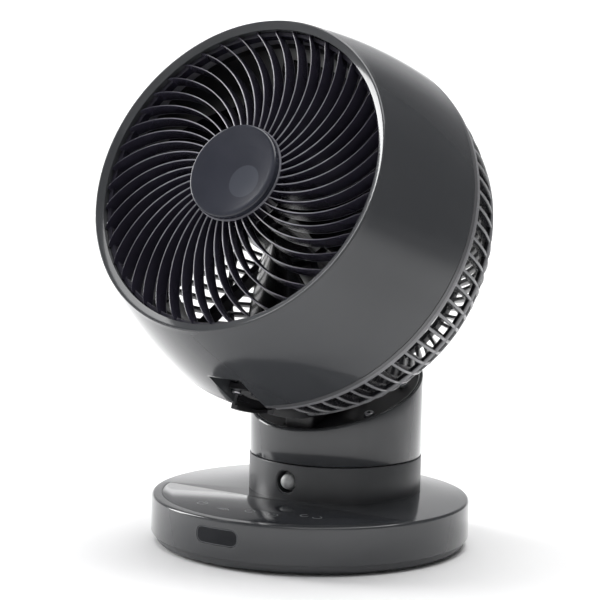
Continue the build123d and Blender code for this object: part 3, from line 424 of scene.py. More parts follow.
# ---------------------------------------------------------------- forms
class Section:
    """A section drawn edge by edge in the plane of radius and height."""

    def __init__(self, radius: float, height: float) -> None:
        """Start at a point."""
        self.bm = bmesh.new()
        self.first = self.bm.verts.new((radius, 0, height))
        self.last = self.first

    def line(self, radius: float, height: float) -> "Section":
        """Draw a straight edge to a point."""
        made = bmesh.ops.extrude_vert_indiv(self.bm, verts=[self.last])["verts"][0]
        bmesh.ops.translate(
            self.bm, verts=[made], vec=Vector((radius, 0, height)) - made.co
        )
        self.last = made
        return self

    def arc(self, radius: float, height: float, bulge: float, steps: int) -> "Section":
        """Draw an arc to a point.

        Args:
            radius: the end's radius.
            height: the end's height.
            bulge: how far it stands to the right of its chord, or to the left below 0.
            steps: its number of edges.

        Returns:
            The section.
        """
        start = self.last.co.copy()
        end = Vector((radius, 0, height))
        chord = end - start
        half = chord.length / 2
        size = abs(bulge)
        reach = (half * half + size * size) / (2 * size)
        right = Vector((chord.z, 0, -chord.x)).normalized() * math.copysign(1, bulge)
        centre = start + chord / 2 + right * (size - reach)
        angle = 2 * math.asin(min(1.0, half / reach))
        if size > half:
            angle = 2 * math.pi - angle
        turned = bmesh.ops.spin(
            self.bm,
            geom=[self.last],
            cent=centre,
            axis=(0, math.copysign(1, -bulge), 0),
            angle=angle,
            steps=steps,
        )
        self.last = turned["geom_last"][0]
        self.last.co = end
        return self

    def turned(
        self, steps: int = 192, start: float = 0.0, sweep: float = 360.0, closed: bool = True
    ) -> "Form":
        """Turn the section about the axis.

        Args:
            steps: the number of steps of the turn.
            start: the angle it starts at, in degrees.
            sweep: the angle it turns through, in degrees.
            closed: whether its last point is joined to its first.

        Returns:
            The turned form.
        """
        bm = self.bm
        if closed:
            bm.edges.new((self.last, self.first))
        bmesh.ops.rotate(
            bm, verts=bm.verts, cent=(0, 0, 0), matrix=Matrix.Rotation(math.radians(start), 3, "Z")
        )
        whole = sweep >= 360.0
        if closed and not whole:
            bmesh.ops.contextual_create(bm, geom=bm.edges[:])
        bmesh.ops.spin(
            bm,
            geom=bm.verts[:] + bm.edges[:] + bm.faces[:],
            cent=(0, 0, 0),
            axis=(0, 0, 1),
            angle=math.radians(sweep),
            steps=steps,
            use_merge=whole,
        )
        form = Form(bm)
        form.mend()
        return form


class Form:
    """A mesh under construction, in millimetres."""

    def __init__(self, bm: Optional[bmesh.types.BMesh] = None) -> None:
        """Start empty or from a mesh."""
        self.bm = bm or bmesh.new()

    @classmethod
    def block(cls, low: Sequence[float], high: Sequence[float]) -> "Form":
        """A box given by its lowest and highest corners."""
        form = cls()
        bmesh.ops.create_cube(form.bm, size=1.0)
        size = [h - l for l, h in zip(low, high)]
        middle = [(h + l) / 2 for l, h in zip(low, high)]
        bmesh.ops.scale(form.bm, verts=form.bm.verts, vec=size)
        bmesh.ops.translate(form.bm, verts=form.bm.verts, vec=middle)
        return form

    @classmethod
    def disc(cls, radius: float, low: float, high: float, at: Point = (0, 0), steps: int = 96) -> "Form":
        """A cylinder along Z from low to high."""
        form = cls()
        bmesh.ops.create_cone(
            form.bm,
            cap_ends=True,
            segments=steps,
            radius1=radius,
            radius2=radius,
            depth=high - low,
        )
        bmesh.ops.translate(form.bm, verts=form.bm.verts, vec=(*at, (low + high) / 2))
        return form

    def mend(self, face_out: bool = True) -> None:
        """Merge doubles and point the faces outwards."""
        bmesh.ops.remove_doubles(self.bm, verts=self.bm.verts, dist=1e-4)
        if face_out:
            bmesh.ops.recalc_face_normals(self.bm, faces=self.bm.faces)

    def move(self, matrix: Matrix) -> "Form":
        """Place the form."""
        bmesh.ops.transform(self.bm, matrix=matrix, verts=self.bm.verts)
        return self

    def bevel(
        self, choose: Callable[[bmesh.types.BMEdge], bool], width: float, segments: int = 3
    ) -> "Form":
        """Round the edges that a test chooses."""
        edges = [edge for edge in self.bm.edges if choose(edge)]
        bmesh.ops.bevel(
            self.bm,
            geom=edges,
            offset=width,
            offset_type="OFFSET",
            segments=segments,
            profile=0.5,
            affect="EDGES",
            material=-1,
            clamp_overlap=True,
        )
        return self

    def add(self, other: "Form") -> "Form":
        """Take another form's mesh in beside this one's."""
        mesh = bpy.data.meshes.new("part")
        other.bm.to_mesh(mesh)
        self.bm.from_mesh(mesh)
        bpy.data.meshes.remove(mesh)
        return self

    def cut(self, other: "Form", how: Cut = Cut.REMOVE) -> "Form":
        """Cut another form away, or join it on.

        Args:
            other: the other closed form.
            how: what is done with it.

        Returns:
            This form, changed.
        """
        made = []
        for form in (self, other):
            mesh = bpy.data.meshes.new("form")
            form.bm.to_mesh(mesh)
            thing = bpy.data.objects.new("form", mesh)
            bpy.context.scene.collection.objects.link(thing)
            made.append(thing)
        modifier = made[0].modifiers.new("cut", "BOOLEAN")
        modifier.operation = how.value
        modifier.solver = "EXACT"
        modifier.object = made[1]
        graph = bpy.context.evaluated_depsgraph_get()
        result = bpy.data.meshes.new_from_object(made[0].evaluated_get(graph))
        self.bm.clear()
        self.bm.from_mesh(result)
        for thing in made:
            mesh = thing.data
            bpy.data.objects.remove(thing)
            bpy.data.meshes.remove(mesh)
        bpy.data.meshes.remove(result)
        return self

    def piece(
        self,
        name: str,
        body: Body,
        finish: Finish,
        replaces: Iterable[str] = (),
        place: Optional[Matrix] = None,
        sharp: float = 32.0,
    ) -> bpy.types.Object:
        """Turn the form into a dressed piece that rides on a body.

        Args:
            name: the piece's name.
            body: the body it moves with.
            finish: what it is dressed in.
            replaces: the frame's nodes that it stands for.
            place: where the form goes, with a scale of millimetres.
            sharp: the angle between faces above which an edge stays sharp, in degrees.

        Returns:
            The piece's object.
        """
        bm = self.bm
        bmesh.ops.transform(bm, matrix=place or Matrix.Scale(MM, 4), verts=bm.verts)
        limit = math.radians(sharp)
        for face in bm.faces:
            face.smooth = True
        for edge in bm.edges:
            edge.smooth = len(edge.link_faces) == 2 and edge.calc_face_angle(0.0) < limit
        mesh = bpy.data.meshes.new(name)
        bm.to_mesh(mesh)
        bm.free()
        mesh.materials.append(Palette.material(finish))
        piece = bpy.data.objects.new(name, mesh)
        bpy.context.scene.collection.objects.link(piece)
        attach(piece, body.value)
        if replaces:
            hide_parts(*replaces)
        log.info("%s: %d faces, on %s", name, len(mesh.polygons), body.value)
        return piece


def ring_edge(radius: float, height: float, slack: float = 0.05) -> Callable[[bmesh.types.BMEdge], bool]:
    """A test for the edges of a turned form that run round it at a radius and a height."""

    def test(edge: bmesh.types.BMEdge) -> bool:
        """Whether both ends lie there."""
        return all(
            abs(math.hypot(v.co.x, v.co.y) - radius) < slack and abs(v.co.z - height) < slack
            for v in edge.verts
        )

    return test


def head_frame() -> Matrix:
    """The head's own frame: its origin on the tilt axis, Z along the air stream, in millimetres."""
    spin = next(j for j in frame["joints"] if j["name"] == "impeller_spin")
    forward = Vector(spin["axis"]).normalized()
    side = Vector((1, 0, 0))
    turn = Matrix((side, forward.cross(side), forward)).transposed().to_4x4()
    return Matrix.Translation(spin["pos_m"]) @ turn @ Matrix.Scale(MM, 4)


HEAD = head_frame()


class Palette:
    """Every finish of the object, and the materials made of them."""

    made: dict[Finish, bpy.types.Material] = {}

    shell = BandedShell(
        "shell_gloss", (0.046, 0.048, 0.052), (0.05, 0.052, 0.056),
        0.12, 0.015, 60.0, 0.9, 0.0012, coat=0.25, place=HEAD.freeze(),
    )
    gloss = Finish(
        "shell_gloss", (0.046, 0.048, 0.052), (0.05, 0.052, 0.056),
        0.12, 0.015, 60.0, 0.9, 0.0012, coat=0.25,
    )
    satin = Finish(
        "body_satin", (0.046, 0.048, 0.052), (0.052, 0.054, 0.058),
        0.33, 0.04, 40.0, 0.35, 0.004,
    )
    # fins with painted highlights on their front and back edges
    fins = HighlitFins(
        "fin_dark", (0.022, 0.02, 0.031), (0.027, 0.025, 0.038),
        0.2, 0.05, 20.0, 0.6, 0.002, place=HEAD.freeze(),
    )
    # ribs with a painted highlight along their outer edges
    ribs = HighlitRibs(
        "rib_dark", (0.015, 0.015, 0.018), (0.02, 0.02, 0.023),
        0.24, 0.05, 20.0, 0.6, 0.002, place=HEAD.freeze(),
    )
    cap = DiscedCap(
        "cap_gloss", (0.026, 0.028, 0.038), (0.03, 0.032, 0.043),
        0.16, 0.015, 18.0, 0.5, 0.0012, place=HEAD.freeze(),
    )
    impeller = Finish(
        "impeller_black", (0.01, 0.01, 0.012), (0.014, 0.014, 0.016),
        0.13, 0.03, 30.0, 0.8, 0.0015, coat=0.2,
    )
    black = Finish(
        "inner_black", (0.012, 0.012, 0.014), (0.017, 0.017, 0.019),
        0.36, 0.06, 16.0, 0.4, 0.004,
    )
    panel = Finish(
        "panel_gloss", (0.034, 0.036, 0.041), (0.037, 0.039, 0.044),
        0.11, 0.012, 50.0, 1.0, 0.0006, specular=0.35,
    )
    marks = Finish(
        "sensor_white", (0.30, 0.31, 0.32), (0.34, 0.35, 0.36),
        0.3, 0.03, 8.0, 0.3, 0.001,
    )
    # the window, with a painted highlight line round its outline
    window = HighlitWindow(
        "window_dark", (0.012, 0.013, 0.016), (0.015, 0.016, 0.019),
        0.17, 0.02, 12.0, 0.5, 0.001, specular=0.15,
    )
    lens = Finish("sensor_white", (0.62, 0.63, 0.63), (0.5, 0.51, 0.51), 0.3, 0.05, 3.0, 1.3, 0.12)
    can = Finish(
        "sensor_can_metal", (0.55, 0.55, 0.56), (0.48, 0.48, 0.49),
        0.3, 0.06, 4.0, 0.3, 0.003, metallic=1.0,
    )
    rubber = Finish(
        "rubber_black", (0.018, 0.018, 0.018), (0.026, 0.026, 0.026),
        0.7, 0.06, 6.0, 0.25, 0.02,
    )
    steel = Finish(
        "steel", (0.52, 0.52, 0.54), (0.44, 0.44, 0.46),
        0.28, 0.06, 5.0, 0.3, 0.003, metallic=1.0, stretch=(1, 1, 8),
    )
    iron = Finish(
        "ballast_iron", (0.09, 0.088, 0.085), (0.13, 0.12, 0.11),
        0.6, 0.1, 10.0, 0.6, 0.05, metallic=0.7,
    )
    board = TracedBoard(
        "board_green", (0.02, 0.11, 0.05), (0.025, 0.13, 0.06),
        0.35, 0.04, 12.0, 0.4, 0.004,
    )
    motor_can = Finish(
        "motor_can", (0.42, 0.42, 0.43), (0.36, 0.36, 0.37),
        0.32, 0.06, 12.0, 0.35, 0.003, metallic=1.0, stretch=(1, 6, 1),
    )
    core = Finish(
        "motor_core", (0.22, 0.12, 0.06), (0.3, 0.17, 0.08),
        0.4, 0.08, 4.0, 0.25, 0.02, metallic=0.6, stretch=(1, 5, 5),
    )
    acetal = Finish("acetal_white", (0.7, 0.7, 0.66), (0.63, 0.63, 0.6), 0.4, 0.04, 8.0, 0.3, 0.003)

    @classmethod
    def material(cls, finish: Finish) -> bpy.types.Material:
        """The material of a finish, made once."""
        if finish not in cls.made:
            cls.made[finish] = finish.build(f"{finish.slot}_{len(cls.made)}")
        return cls.made[finish]


# ---------------------------------------------------------------- the base
@dataclass
class Base:
    """The round foot, of which this builds the cover, touch panel, touch marks and remote window; its plate and
    feet are not built here.
    """

    radius: float = 88.0
    top: float = 27.0
    step: float = 6.0
    wall: float = 2.5
    edge: float = 1.5
    panel_radius: float = 82.5
    panel_back: float = -26.5
    panel_corner: float = 9.0
    panel_depth: float = 1.0
    slip: float = 0.25
    window_size: Point = (27.0, 9.4)
    window_height: float = 17.6
    window_corner: float = 4.0
    neck_y: float = 24.0
    neck_opening: float = 39.0

    def build(self) -> None:
        """Build and dress every piece of the base."""
        self.cover()
        self.panel()
        self.marks()
        self.window()

    def crescent(self, inset: float, low: float, high: float) -> Form:
        """The panel's outline as a prism: a round front and a straight back."""
        form = Form()
        bm = form.bm
        bmesh.ops.create_circle(bm, cap_ends=True, radius=self.panel_radius - inset, segments=256)
        bmesh.ops.bisect_plane(
            bm,
            geom=bm.verts[:] + bm.edges[:] + bm.faces[:],
            dist=1e-5,
            plane_co=(0, self.panel_back - inset, 0),
            plane_no=(0, 1, 0),
            clear_outer=True,
        )
        bm.edges.ensure_lookup_table()
        back = max(bm.edges, key=lambda edge: sum(v.co.y for v in edge.verts) + edge.calc_length())
        bmesh.ops.bevel(
            bm,
            geom=list(back.verts),
            offset=self.panel_corner * 0.9,
            segments=10,
            profile=0.5,
            affect="VERTICES",
            material=-1,
            clamp_overlap=False,
        )
        bmesh.ops.translate(bm, verts=bm.verts, vec=(0, 0, low))
        made = bmesh.ops.extrude_face_region(bm, geom=bm.faces[:])
        verts = [item for item in made["geom"] if isinstance(item, bmesh.types.BMVert)]
        bmesh.ops.translate(bm, verts=verts, vec=(0, 0, high - low))
        form.mend()
        return form

    def bar(self, inset: float, near: float, far: float) -> Form:
        """A rounded bar through the front wall, from one distance to another."""
        width, height = (size / 2 - inset for size in self.window_size)
        form = Form.block((-width, near, -height), (width, far, height))
        corners = lambda edge: abs(edge.verts[0].co.y - edge.verts[1].co.y) > 1e-3
        form.bevel(corners, self.window_corner - inset, 8)
        return form.move(Matrix.Translation((0, 0, self.window_height)))

    def cover(self) -> None:
        """The cover: a shallow drum with a softened top edge, open for neck, panel and window."""
        roof = self.top - self.wall
        inner = self.radius - self.wall
        section = Section(0, self.top).line(self.radius, self.top).line(self.radius, self.step)
        section.line(inner, self.step).line(inner, roof).line(0, roof)
        form = section.turned(256)
        form.bevel(ring_edge(self.radius, self.top), self.edge, 6)
        form.bevel(ring_edge(self.radius, self.step), 0.3, 2)
        form.cut(Form.disc(self.neck_opening, roof - 1, self.top + 1, (0, self.neck_y)))
        form.cut(self.crescent(0.0, self.top - self.panel_depth, self.top + 1))
        form.cut(self.bar(0.0, -self.radius - 4, -self.radius + 12))
        low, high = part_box("power_inlet")
        jack = [value / MM for value in (low.x, low.z, high.x, high.z)]
        gap = 0.2
        form.cut(
            Form.block(
                (jack[0] - gap, self.radius - 12, jack[1] - gap),
                (jack[2] + gap, self.radius + 4, jack[3] + gap),
            )
        )
        form.piece("base_cover_shell", Body.BASE, Palette.gloss, ["base_cover"])

    def panel(self) -> None:
        """The touch panel, flush in its pocket."""
        form = self.crescent(self.slip, self.top - self.panel_depth, self.top)
        top = self.top
        rim = lambda edge: all(abs(v.co.z - top) < 1e-3 for v in edge.verts)
        form.bevel(rim, 0.15, 2)
        form.piece("touch_panel_glass", Body.BASE, Palette.panel, ["touch_panel"])

    def stroke(self, at: Point, radius: float, start: float, sweep: float, width: float = 0.45) -> Form:
        """A printed line of a touch mark: an arc round a point."""
        low, high = self.top - 0.02, self.top + 0.03
        half = width / 2
        section = Section(radius - half, low).line(radius + half, low)
        section.line(radius + half, high).line(radius - half, high)
        form = section.turned(max(6, int(sweep / 8)), start, sweep)
        return form.move(Matrix.Translation((*at, 0)))

    def marks(self) -> None:
        """Plain touch marks: power, air speed, swing and timer signs."""
        low, high = self.top - 0.02, self.top + 0.03
        form = self.stroke((-30, -60), 2.8, 115, 310)
        form.add(Form.block((-30.25, -59.4, low), (-29.75, -56.2, high)))
        for radius in (1.2, 2.5, 3.8):
            form.add(self.stroke((-12, -67), radius, 20, 140))
        for angle in (0, 120, 240):
            form.add(self.stroke((2, -60), 2.8, angle, 90))
        form.add(self.stroke((17, -60), 2.8, 0, 359.9))
        form.add(Form.block((16.8, -60.2, low), (17.2, -58.0, high)))
        for side in (-1, 1):
            form.add(self.stroke((35 + 4.0 * side, -50), 2.4, 90 - 130 * side - 130, 260))
        form.piece("touch_marks", Body.BASE, Palette.marks)

    def window(self) -> None:
        """The dark remote control window, curved with the wall."""
        form = self.bar(self.slip, -self.radius - 1, -self.radius + 3)
        bm = form.bm
        for step in range(-4, 5):
            bmesh.ops.bisect_plane(
                bm,
                geom=bm.verts[:] + bm.edges[:] + bm.faces[:],
                plane_co=(step * 2.9, 0, 0),
                plane_no=(1, 0, 0),
            )
        for vert in bm.verts:
            reach = self.radius - (0.15 if vert.co.y < -self.radius else 4.0)
            vert.co.y = -math.sqrt(reach**2 - vert.co.x**2)
        form.mend()
        form.piece("remote_window_lens", Body.BASE, Palette.window, ["remote_window"])


# ---------------------------------------------------------------- the neck
@dataclass
class Neck:
    """The fixed collar with its presence sensor, and the swivelling yoke on it."""

    y: float = 24.0
    radius: float = 48.0
    collar_radius: float = 48.2
    wall: float = 2.5
    base_top: float = 27.0
    seam: float = 47.0
    seam_gap: float = 0.5
    floor: float = 2.8
    bore: float = 17.0
    yoke_front: float = 66.5
    slope: float = 19.7
    rim: float = 0.9
    sensor_height: float = 37.0
    recess: float = 7.0
    lens_radius: float = 4.3

    def build(self) -> None:
        """Build and dress the collar, its sensor and the yoke."""
        self.collar()
        self.sensor()
        self.yoke()

    def collar(self) -> None:
        """The fixed collar with a round recess in front."""
        outer, inner = self.collar_radius, self.radius - self.wall
        deck = self.seam - 5.5
        section = Section(outer, self.base_top).line(outer, self.seam).line(inner, self.seam)
        section.line(inner, deck).line(self.bore, deck).line(self.bore, deck - 2.5)
        section.line(inner, deck - 2.5).line(inner, self.base_top + 2.5)
        section.line(inner - 6.5, self.base_top + 2.5).line(inner - 6.5, self.base_top)
        form = section.turned(192)
        form.bevel(ring_edge(outer, self.seam), 0.45, 3)
        hole = Form.disc(self.recess, 37.5, 55, steps=72)
        facing = Matrix.Translation((0, 0, self.sensor_height)) @ Matrix.Rotation(math.pi / 2, 4, "X")
        form.cut(hole.move(facing))
        place = Matrix.Scale(MM, 4) @ Matrix.Translation((0, self.y, 0))
        form.piece("collar_band", Body.BASE, Palette.satin, ["neck_collar"], place)

    def sensor(self) -> None:
        """The sensor's cup and its milky lens."""
        place = (
            Matrix.Scale(MM, 4)
            @ Matrix.Translation((0, self.y, self.sensor_height))
            @ Matrix.Rotation(math.pi / 2, 4, "X")
        )
        face = self.collar_radius - 0.6
        wall, mouth = self.recess - 0.1, self.recess - 0.9
        seat, well = self.lens_radius + 0.9, self.lens_radius - 0.7
        section = Section(0, face - 8.5).line(wall, face - 8.5).line(wall, face).line(mouth, face)
        section.line(mouth, face - 6.2).line(seat, face - 6.2).line(seat, face - 3.4)
        section.line(well, face - 3.4).line(well, face - 6.2).line(0, face - 6.2)
        cup = section.turned(72)
        cup.bevel(ring_edge(mouth, face), 0.25, 2)
        cup.piece("sensor_cup_bowl", Body.BASE, Palette.satin, ["sensor_cup"], place)
        low = self.collar_radius - 4.0
        radius, inner = self.lens_radius, self.lens_radius - 1.0
        arc = 1 - math.sqrt(0.5)
        section = Section(radius, low).line(radius, low + 1.2).arc(0, low + 1.2 + radius, radius * arc, 14)
        section.line(0, low + 1.2 + inner).arc(inner, low + 1.2, -inner * arc, 12).line(inner, low)
        section.turned(64).piece("sensor_lens_dome", Body.BASE, Palette.lens, ["sensor_lens"], place)

    def yoke(self) -> None:
        """The yoke: a cup cut off along a slope, with a rounded rim."""
        low = self.seam + self.seam_gap
        inner = self.radius - self.wall
        section = Section(self.radius, low).line(self.radius, 130).line(inner, 130)
        section.line(inner, low + self.floor).line(self.bore, low + self.floor).line(self.bore, low)
        form = section.turned(192)
        bm = form.bm
        slope = math.radians(self.slope)
        normal = Vector((0, -math.sin(slope), math.cos(slope)))
        point = Vector((0, -self.radius, self.yoke_front))
        bmesh.ops.bisect_plane(
            bm,
            geom=bm.verts[:] + bm.edges[:] + bm.faces[:],
            dist=1e-5,
            plane_co=point,
            plane_no=normal,
            clear_outer=True,
        )
        open_edges = [edge for edge in bm.edges if edge.is_boundary]
        bmesh.ops.bridge_loops(bm, edges=open_edges)
        form.mend()
        on_rim = lambda edge: all(abs((v.co - point).dot(normal)) < 1e-3 for v in edge.verts) and any(
            abs(face.normal.dot(normal)) < 0.9 for face in edge.link_faces
        )
        form.bevel(on_rim, self.rim, 5)
        form.bevel(ring_edge(self.radius, low), 0.4, 2)
        place = Matrix.Scale(MM, 4) @ Matrix.Translation((0, self.y, 0))
        form.piece("yoke_shell", Body.YOKE, Palette.gloss, ["yoke"], place)


# ---------------------------------------------------------------- the head
@dataclass
class Head:
    """The globe: shell, finned outlet, cap and ribbed rear dome, drawn in the head's frame."""

    lip_radius: float = 89.0
    lip: float = 62.0
    rear_radius: float = 105.0
    rear: float = -11.0
    bulge: float = 1.9
    wall: float = 2.5
    rim_radius: float = 84.3
    dome_radius: float = 103.7
    dome_depth: float = 96.0
    cap_radius: float = 26.5
    cap_stand_out: float = 3.8
    fins: int = 45
    fin_thickness: float = 1.4
    fin_depth: float = 10.0
    fin_curve: float = 58.6
    fin_offset: float = 59.7
    ribs: int = 72
    rib_thickness: float = 1.8
    rib_depth: float = 4.5
    channel: float = 10.25
    channel_wall: float = 2.5
    channel_floor: float = 95.1
    channel_front: float = 20.5
    rail_half: float = 14.25
    rail_top: float = 66.0
    hoops: tuple = ((54.0, 3.0), (82.0, 2.2), (96.5, 2.2))
    dome_ring: float = 3.6
    disc: float = -91.7
    disc_thickness: float = 3.0
    shortest_rib: float = 6.0

    def build(self) -> None:
        """Build and dress every shown piece of the head."""
        self.shell()
        self.front_grille()
        self.cap()
        self.rear_grille()

    def shell_radius(self, height: float) -> float:
        """The shell's outer radius at a height."""
        share = (height - self.rear) / (self.lip - self.rear)
        chord = self.rear_radius + (self.lip_radius - self.rear_radius) * share
        return chord + 4 * self.bulge * share * (1 - share)

    def shell(self) -> None:
        """The shell: a bulged band with a rounded lip, a funnel and the rail's channel."""
        lip, rear = self.lip, self.rear
        pocket = lip - 4.6
        groove = rear + 2.7
        section = Section(self.rear_radius, rear).line(self.shell_radius(groove - 0.3), groove - 0.3)
        section.line(self.shell_radius(groove - 0.2) - 0.4, groove - 0.2)
        section.line(self.shell_radius(groove + 0.2) - 0.4, groove + 0.2)
        section.line(self.shell_radius(groove + 0.3), groove + 0.3)
        section.arc(self.lip_radius, lip - 0.9, self.bulge * 0.93, 24)
        section.arc(self.lip_radius - 1.4, lip, 0.45, 6)
        section.line(self.rim_radius, lip - 1.8).line(self.rim_radius, lip - 16)
        section.line(self.rim_radius + 1.8, lip - 16).line(self.rim_radius + 1.8, pocket)
        section.line(self.shell_radius(pocket) - self.wall, pocket)
        section.arc(self.rear_radius - self.wall, rear, -self.bulge * 0.9, 12)
        form = section.turned(256)
        side = self.channel + self.channel_wall
        box = Form.block(
            (-side, -self.rear_radius + 2, rear), (side, -self.channel_floor + self.channel_wall, 20)
        )
        cone = Section(0, rear).line(self.rear_radius - 0.3, rear).line(self.shell_radius(25) - 0.6, 25)
        form.cut(box.cut(cone.line(0, 25).turned(128), Cut.COMMON), Cut.ADD)
        form.cut(self.channel_form())
        form.piece("globe_shell", Body.HEAD, Palette.shell, ["head_shell"], HEAD)

    def channel_form(self) -> Form:
        """What the rail's channel takes out of the shell: a ramp and a straight run."""
        far = -self.rear_radius - 15
        form = Form.block(
            (-self.channel, far, self.rear - 1),
            (self.channel, -self.channel_floor, self.channel_front),
        )
        for vert in form.bm.verts:
            if vert.co.z > 0 and vert.co.y > far + 1:
                vert.co.y = -self.shell_radius(self.channel_front) - 0.2
        bm = form.bm
        made = bmesh.ops.bisect_plane(
            bm,
            geom=bm.verts[:] + bm.edges[:] + bm.faces[:],
            plane_co=(0, 0, 3.0),
            plane_no=(0, 0, 1),
        )
        for item in made["geom_cut"]:
            if isinstance(item, bmesh.types.BMVert) and item.co.y > far + 1:
                item.co.y = -self.channel_floor
        form.mend()
        return form

    def fin_front(self, radius: float) -> float:
        """The height of the fins' front edges: they fall off round the outer corner."""
        front = self.lip - 0.6
        reach = self.rim_radius - 0.3
        shoulder = 1.6
        inner = self.cap_radius + 0.5
        share = min(1.0, max(0.0, (radius - inner) / (reach - shoulder - inner)))
        height = front - 0.8 * share
        over = max(0.0, radius - (reach - shoulder))
        return height - shoulder + math.sqrt(max(0.0, shoulder**2 - over**2))

    def front_grille(self) -> None:
        """Deep curved fins from the hub to the rim, with softened front edges."""
        front = self.lip - 0.6
        back = front - self.fin_depth
        half = self.fin_thickness / 2
        inner, outer = self.cap_radius - 0.7, self.rim_radius - 0.35
        form = Form()
        for index in range(self.fins):
            blade = self.fin(back, front, half, inner, outer)
            turn = Matrix.Rotation(2 * math.pi * index / self.fins, 4, "Z")
            form.add(blade.move(turn))
            blade.bm.free()
        hub = Section(self.cap_radius + 0.5, back).line(self.cap_radius + 0.5, front + 0.4)
        hub.line(self.cap_radius - 1.7, front + 0.4).line(self.cap_radius - 1.7, back + 2)
        hub.line(0, back + 2).line(0, back)
        form.add(hub.turned(96))
        rim = Section(self.rim_radius - 0.25, back - 4).line(self.rim_radius - 0.25, front - 4.5)
        rim.line(self.rim_radius - 2.4, front - 4.5).line(self.rim_radius - 2.4, back - 4)
        band = rim.turned(192)
        band.bevel(ring_edge(self.rim_radius - 2.4, front - 4.5), 0.5, 2)
        form.add(band)
        form.piece("outlet_fins", Body.HEAD, Palette.fins, ["front_grille"], HEAD)

    def fin(self, back: float, front: float, half: float, inner: float, outer: float) -> Form:
        """One fin: a rounded strip turned about its own centre beside the head's axis.

        Args:
            back: the height of its back edge.
            front: the height of its front edge at the hub.
            half: half its thickness.
            inner: the radius where it starts.
            outer: the radius where it ends.

        Returns:
            The fin.
        """
        curve, offset = self.fin_curve, self.fin_offset

        def angle_at(radius: float) -> float:
            """The angle about the fin's centre that lies at a radius from the axis."""
            return math.asin((radius**2 - curve**2 - offset**2) / (2 * curve * offset))

        edge = half * 0.45
        section = Section(curve - half, back + 0.3).line(curve - edge, front - 0.4)
        section.arc(curve + edge, front - 0.4, -0.4, 4).line(curve + half, back + 0.3)
        section.arc(curve - half, back + 0.3, -0.25, 2)
        start, end = math.degrees(angle_at(inner)), math.degrees(angle_at(outer))
        form = section.turned(22, start, end - start, closed=False)
        bmesh.ops.translate(form.bm, verts=form.bm.verts, vec=(0, offset, 0))
        bmesh.ops.holes_fill(form.bm, edges=form.bm.edges, sides=0)
        for vert in form.bm.verts:
            radius = math.hypot(vert.co.x, vert.co.y)
            share = (vert.co.z - back) / (front - back)
            vert.co.z = back + share * (self.fin_front(radius) - back)
        form.mend()
        return form

    def cap(self) -> None:
        """The dished cap over the hub, on a short spigot."""
        face = self.lip + self.cap_stand_out
        low = self.lip
        dish = 1.6
        radius = self.cap_radius
        section = Section(0, face - dish).arc(radius - 2.0, face, 0.4, 20)
        section.line(radius, face).line(radius, low)
        section.line(radius - 2.4, low).line(radius - 2.4, low - 8.4).line(radius - 4.4, low - 8.4)
        section.line(radius - 4.4, low + 0.5).line(0, low + 0.5)
        form = section.turned(160)
        form.bevel(ring_edge(radius, face), 1.2, 6)
        form.piece("hub_cap_dish", Body.HEAD, Palette.cap, ["hub_cap"], HEAD)

    def rib_start(self, angle: float, inner: float) -> float:
        """The radius where a rib starts, clear of the rail's way.

        Args:
            angle: the rib's direction about the head's axis.
            inner: the radius where it would start otherwise.

        Returns:
            The radius.
        """
        across, up = abs(math.cos(angle)), math.sin(angle)
        half = self.rib_thickness / 2
        clear = (self.rail_half + half * abs(up)) / max(across, 1e-6)
        if up > 0:
            clear = min(clear, (self.rail_top + half * across) / up)
        return max(inner, clear * self.dome_radius / (self.dome_radius - self.rib_depth))

    def rib(self, inner: float) -> Form:
        """One rib of the dome: a rounded bar turned about the tilt axis and flattened."""
        half, depth = self.rib_thickness / 2, self.rib_depth
        outer = self.dome_radius
        first = math.asin(3.1 / self.dome_depth)
        last = math.acos(inner / outer)
        form = Form.block((outer - depth, -half, -0.01), (outer, half, 0.01))
        bm = form.bm
        keep = [face for face in bm.faces if face.normal.z > 0.9]
        bmesh.ops.delete(bm, geom=[face for face in bm.faces if face not in keep], context="FACES")
        bmesh.ops.bevel(
            bm, geom=bm.verts[:], offset=0.55, segments=2, profile=0.5, affect="VERTICES", material=-1
        )
        bmesh.ops.rotate(bm, verts=bm.verts, cent=(0, 0, 0), matrix=Matrix.Rotation(first, 3, "Y"))
        bmesh.ops.spin(
            bm,
            geom=bm.verts[:] + bm.edges[:] + bm.faces[:],
            cent=(0, 0, 0),
            axis=(0, 1, 0),
            angle=last - first,
            steps=16,
        )
        bmesh.ops.scale(bm, verts=bm.verts, vec=(1, 1, self.dome_depth / outer))
        bmesh.ops.translate(bm, verts=bm.verts, vec=(0, 0, self.rear))
        form.mend()
        return form

    def hoop(self, radius: float, width: float, low: float, high: float) -> Form:
        """A ring of the dome, open wherever the rail passes.

        Args:
            radius: its middle radius.
            width: its width across.
            low: its lowest height.
            high: its highest height.

        Returns:
            The hoop.
        """
        half = width / 2
        missing = math.degrees(math.asin(self.rail_half / radius))
        runs = [(-90, 360)] if radius > self.rail_top else [(-90, 180), (90, 180)]
        form = Form()
        for start, sweep in runs:
            section = Section(radius - half, low).line(radius + half, low)
            section.line(radius + half, high).line(radius - half, high)
            form.add(section.turned(sweep * 4 // 9, start + missing, sweep - 2 * missing))
        form.bevel(lambda edge: edge.calc_length() > 1e-3 and edge.calc_face_angle(0.0) > 1.2, 0.35, 2)
        return form

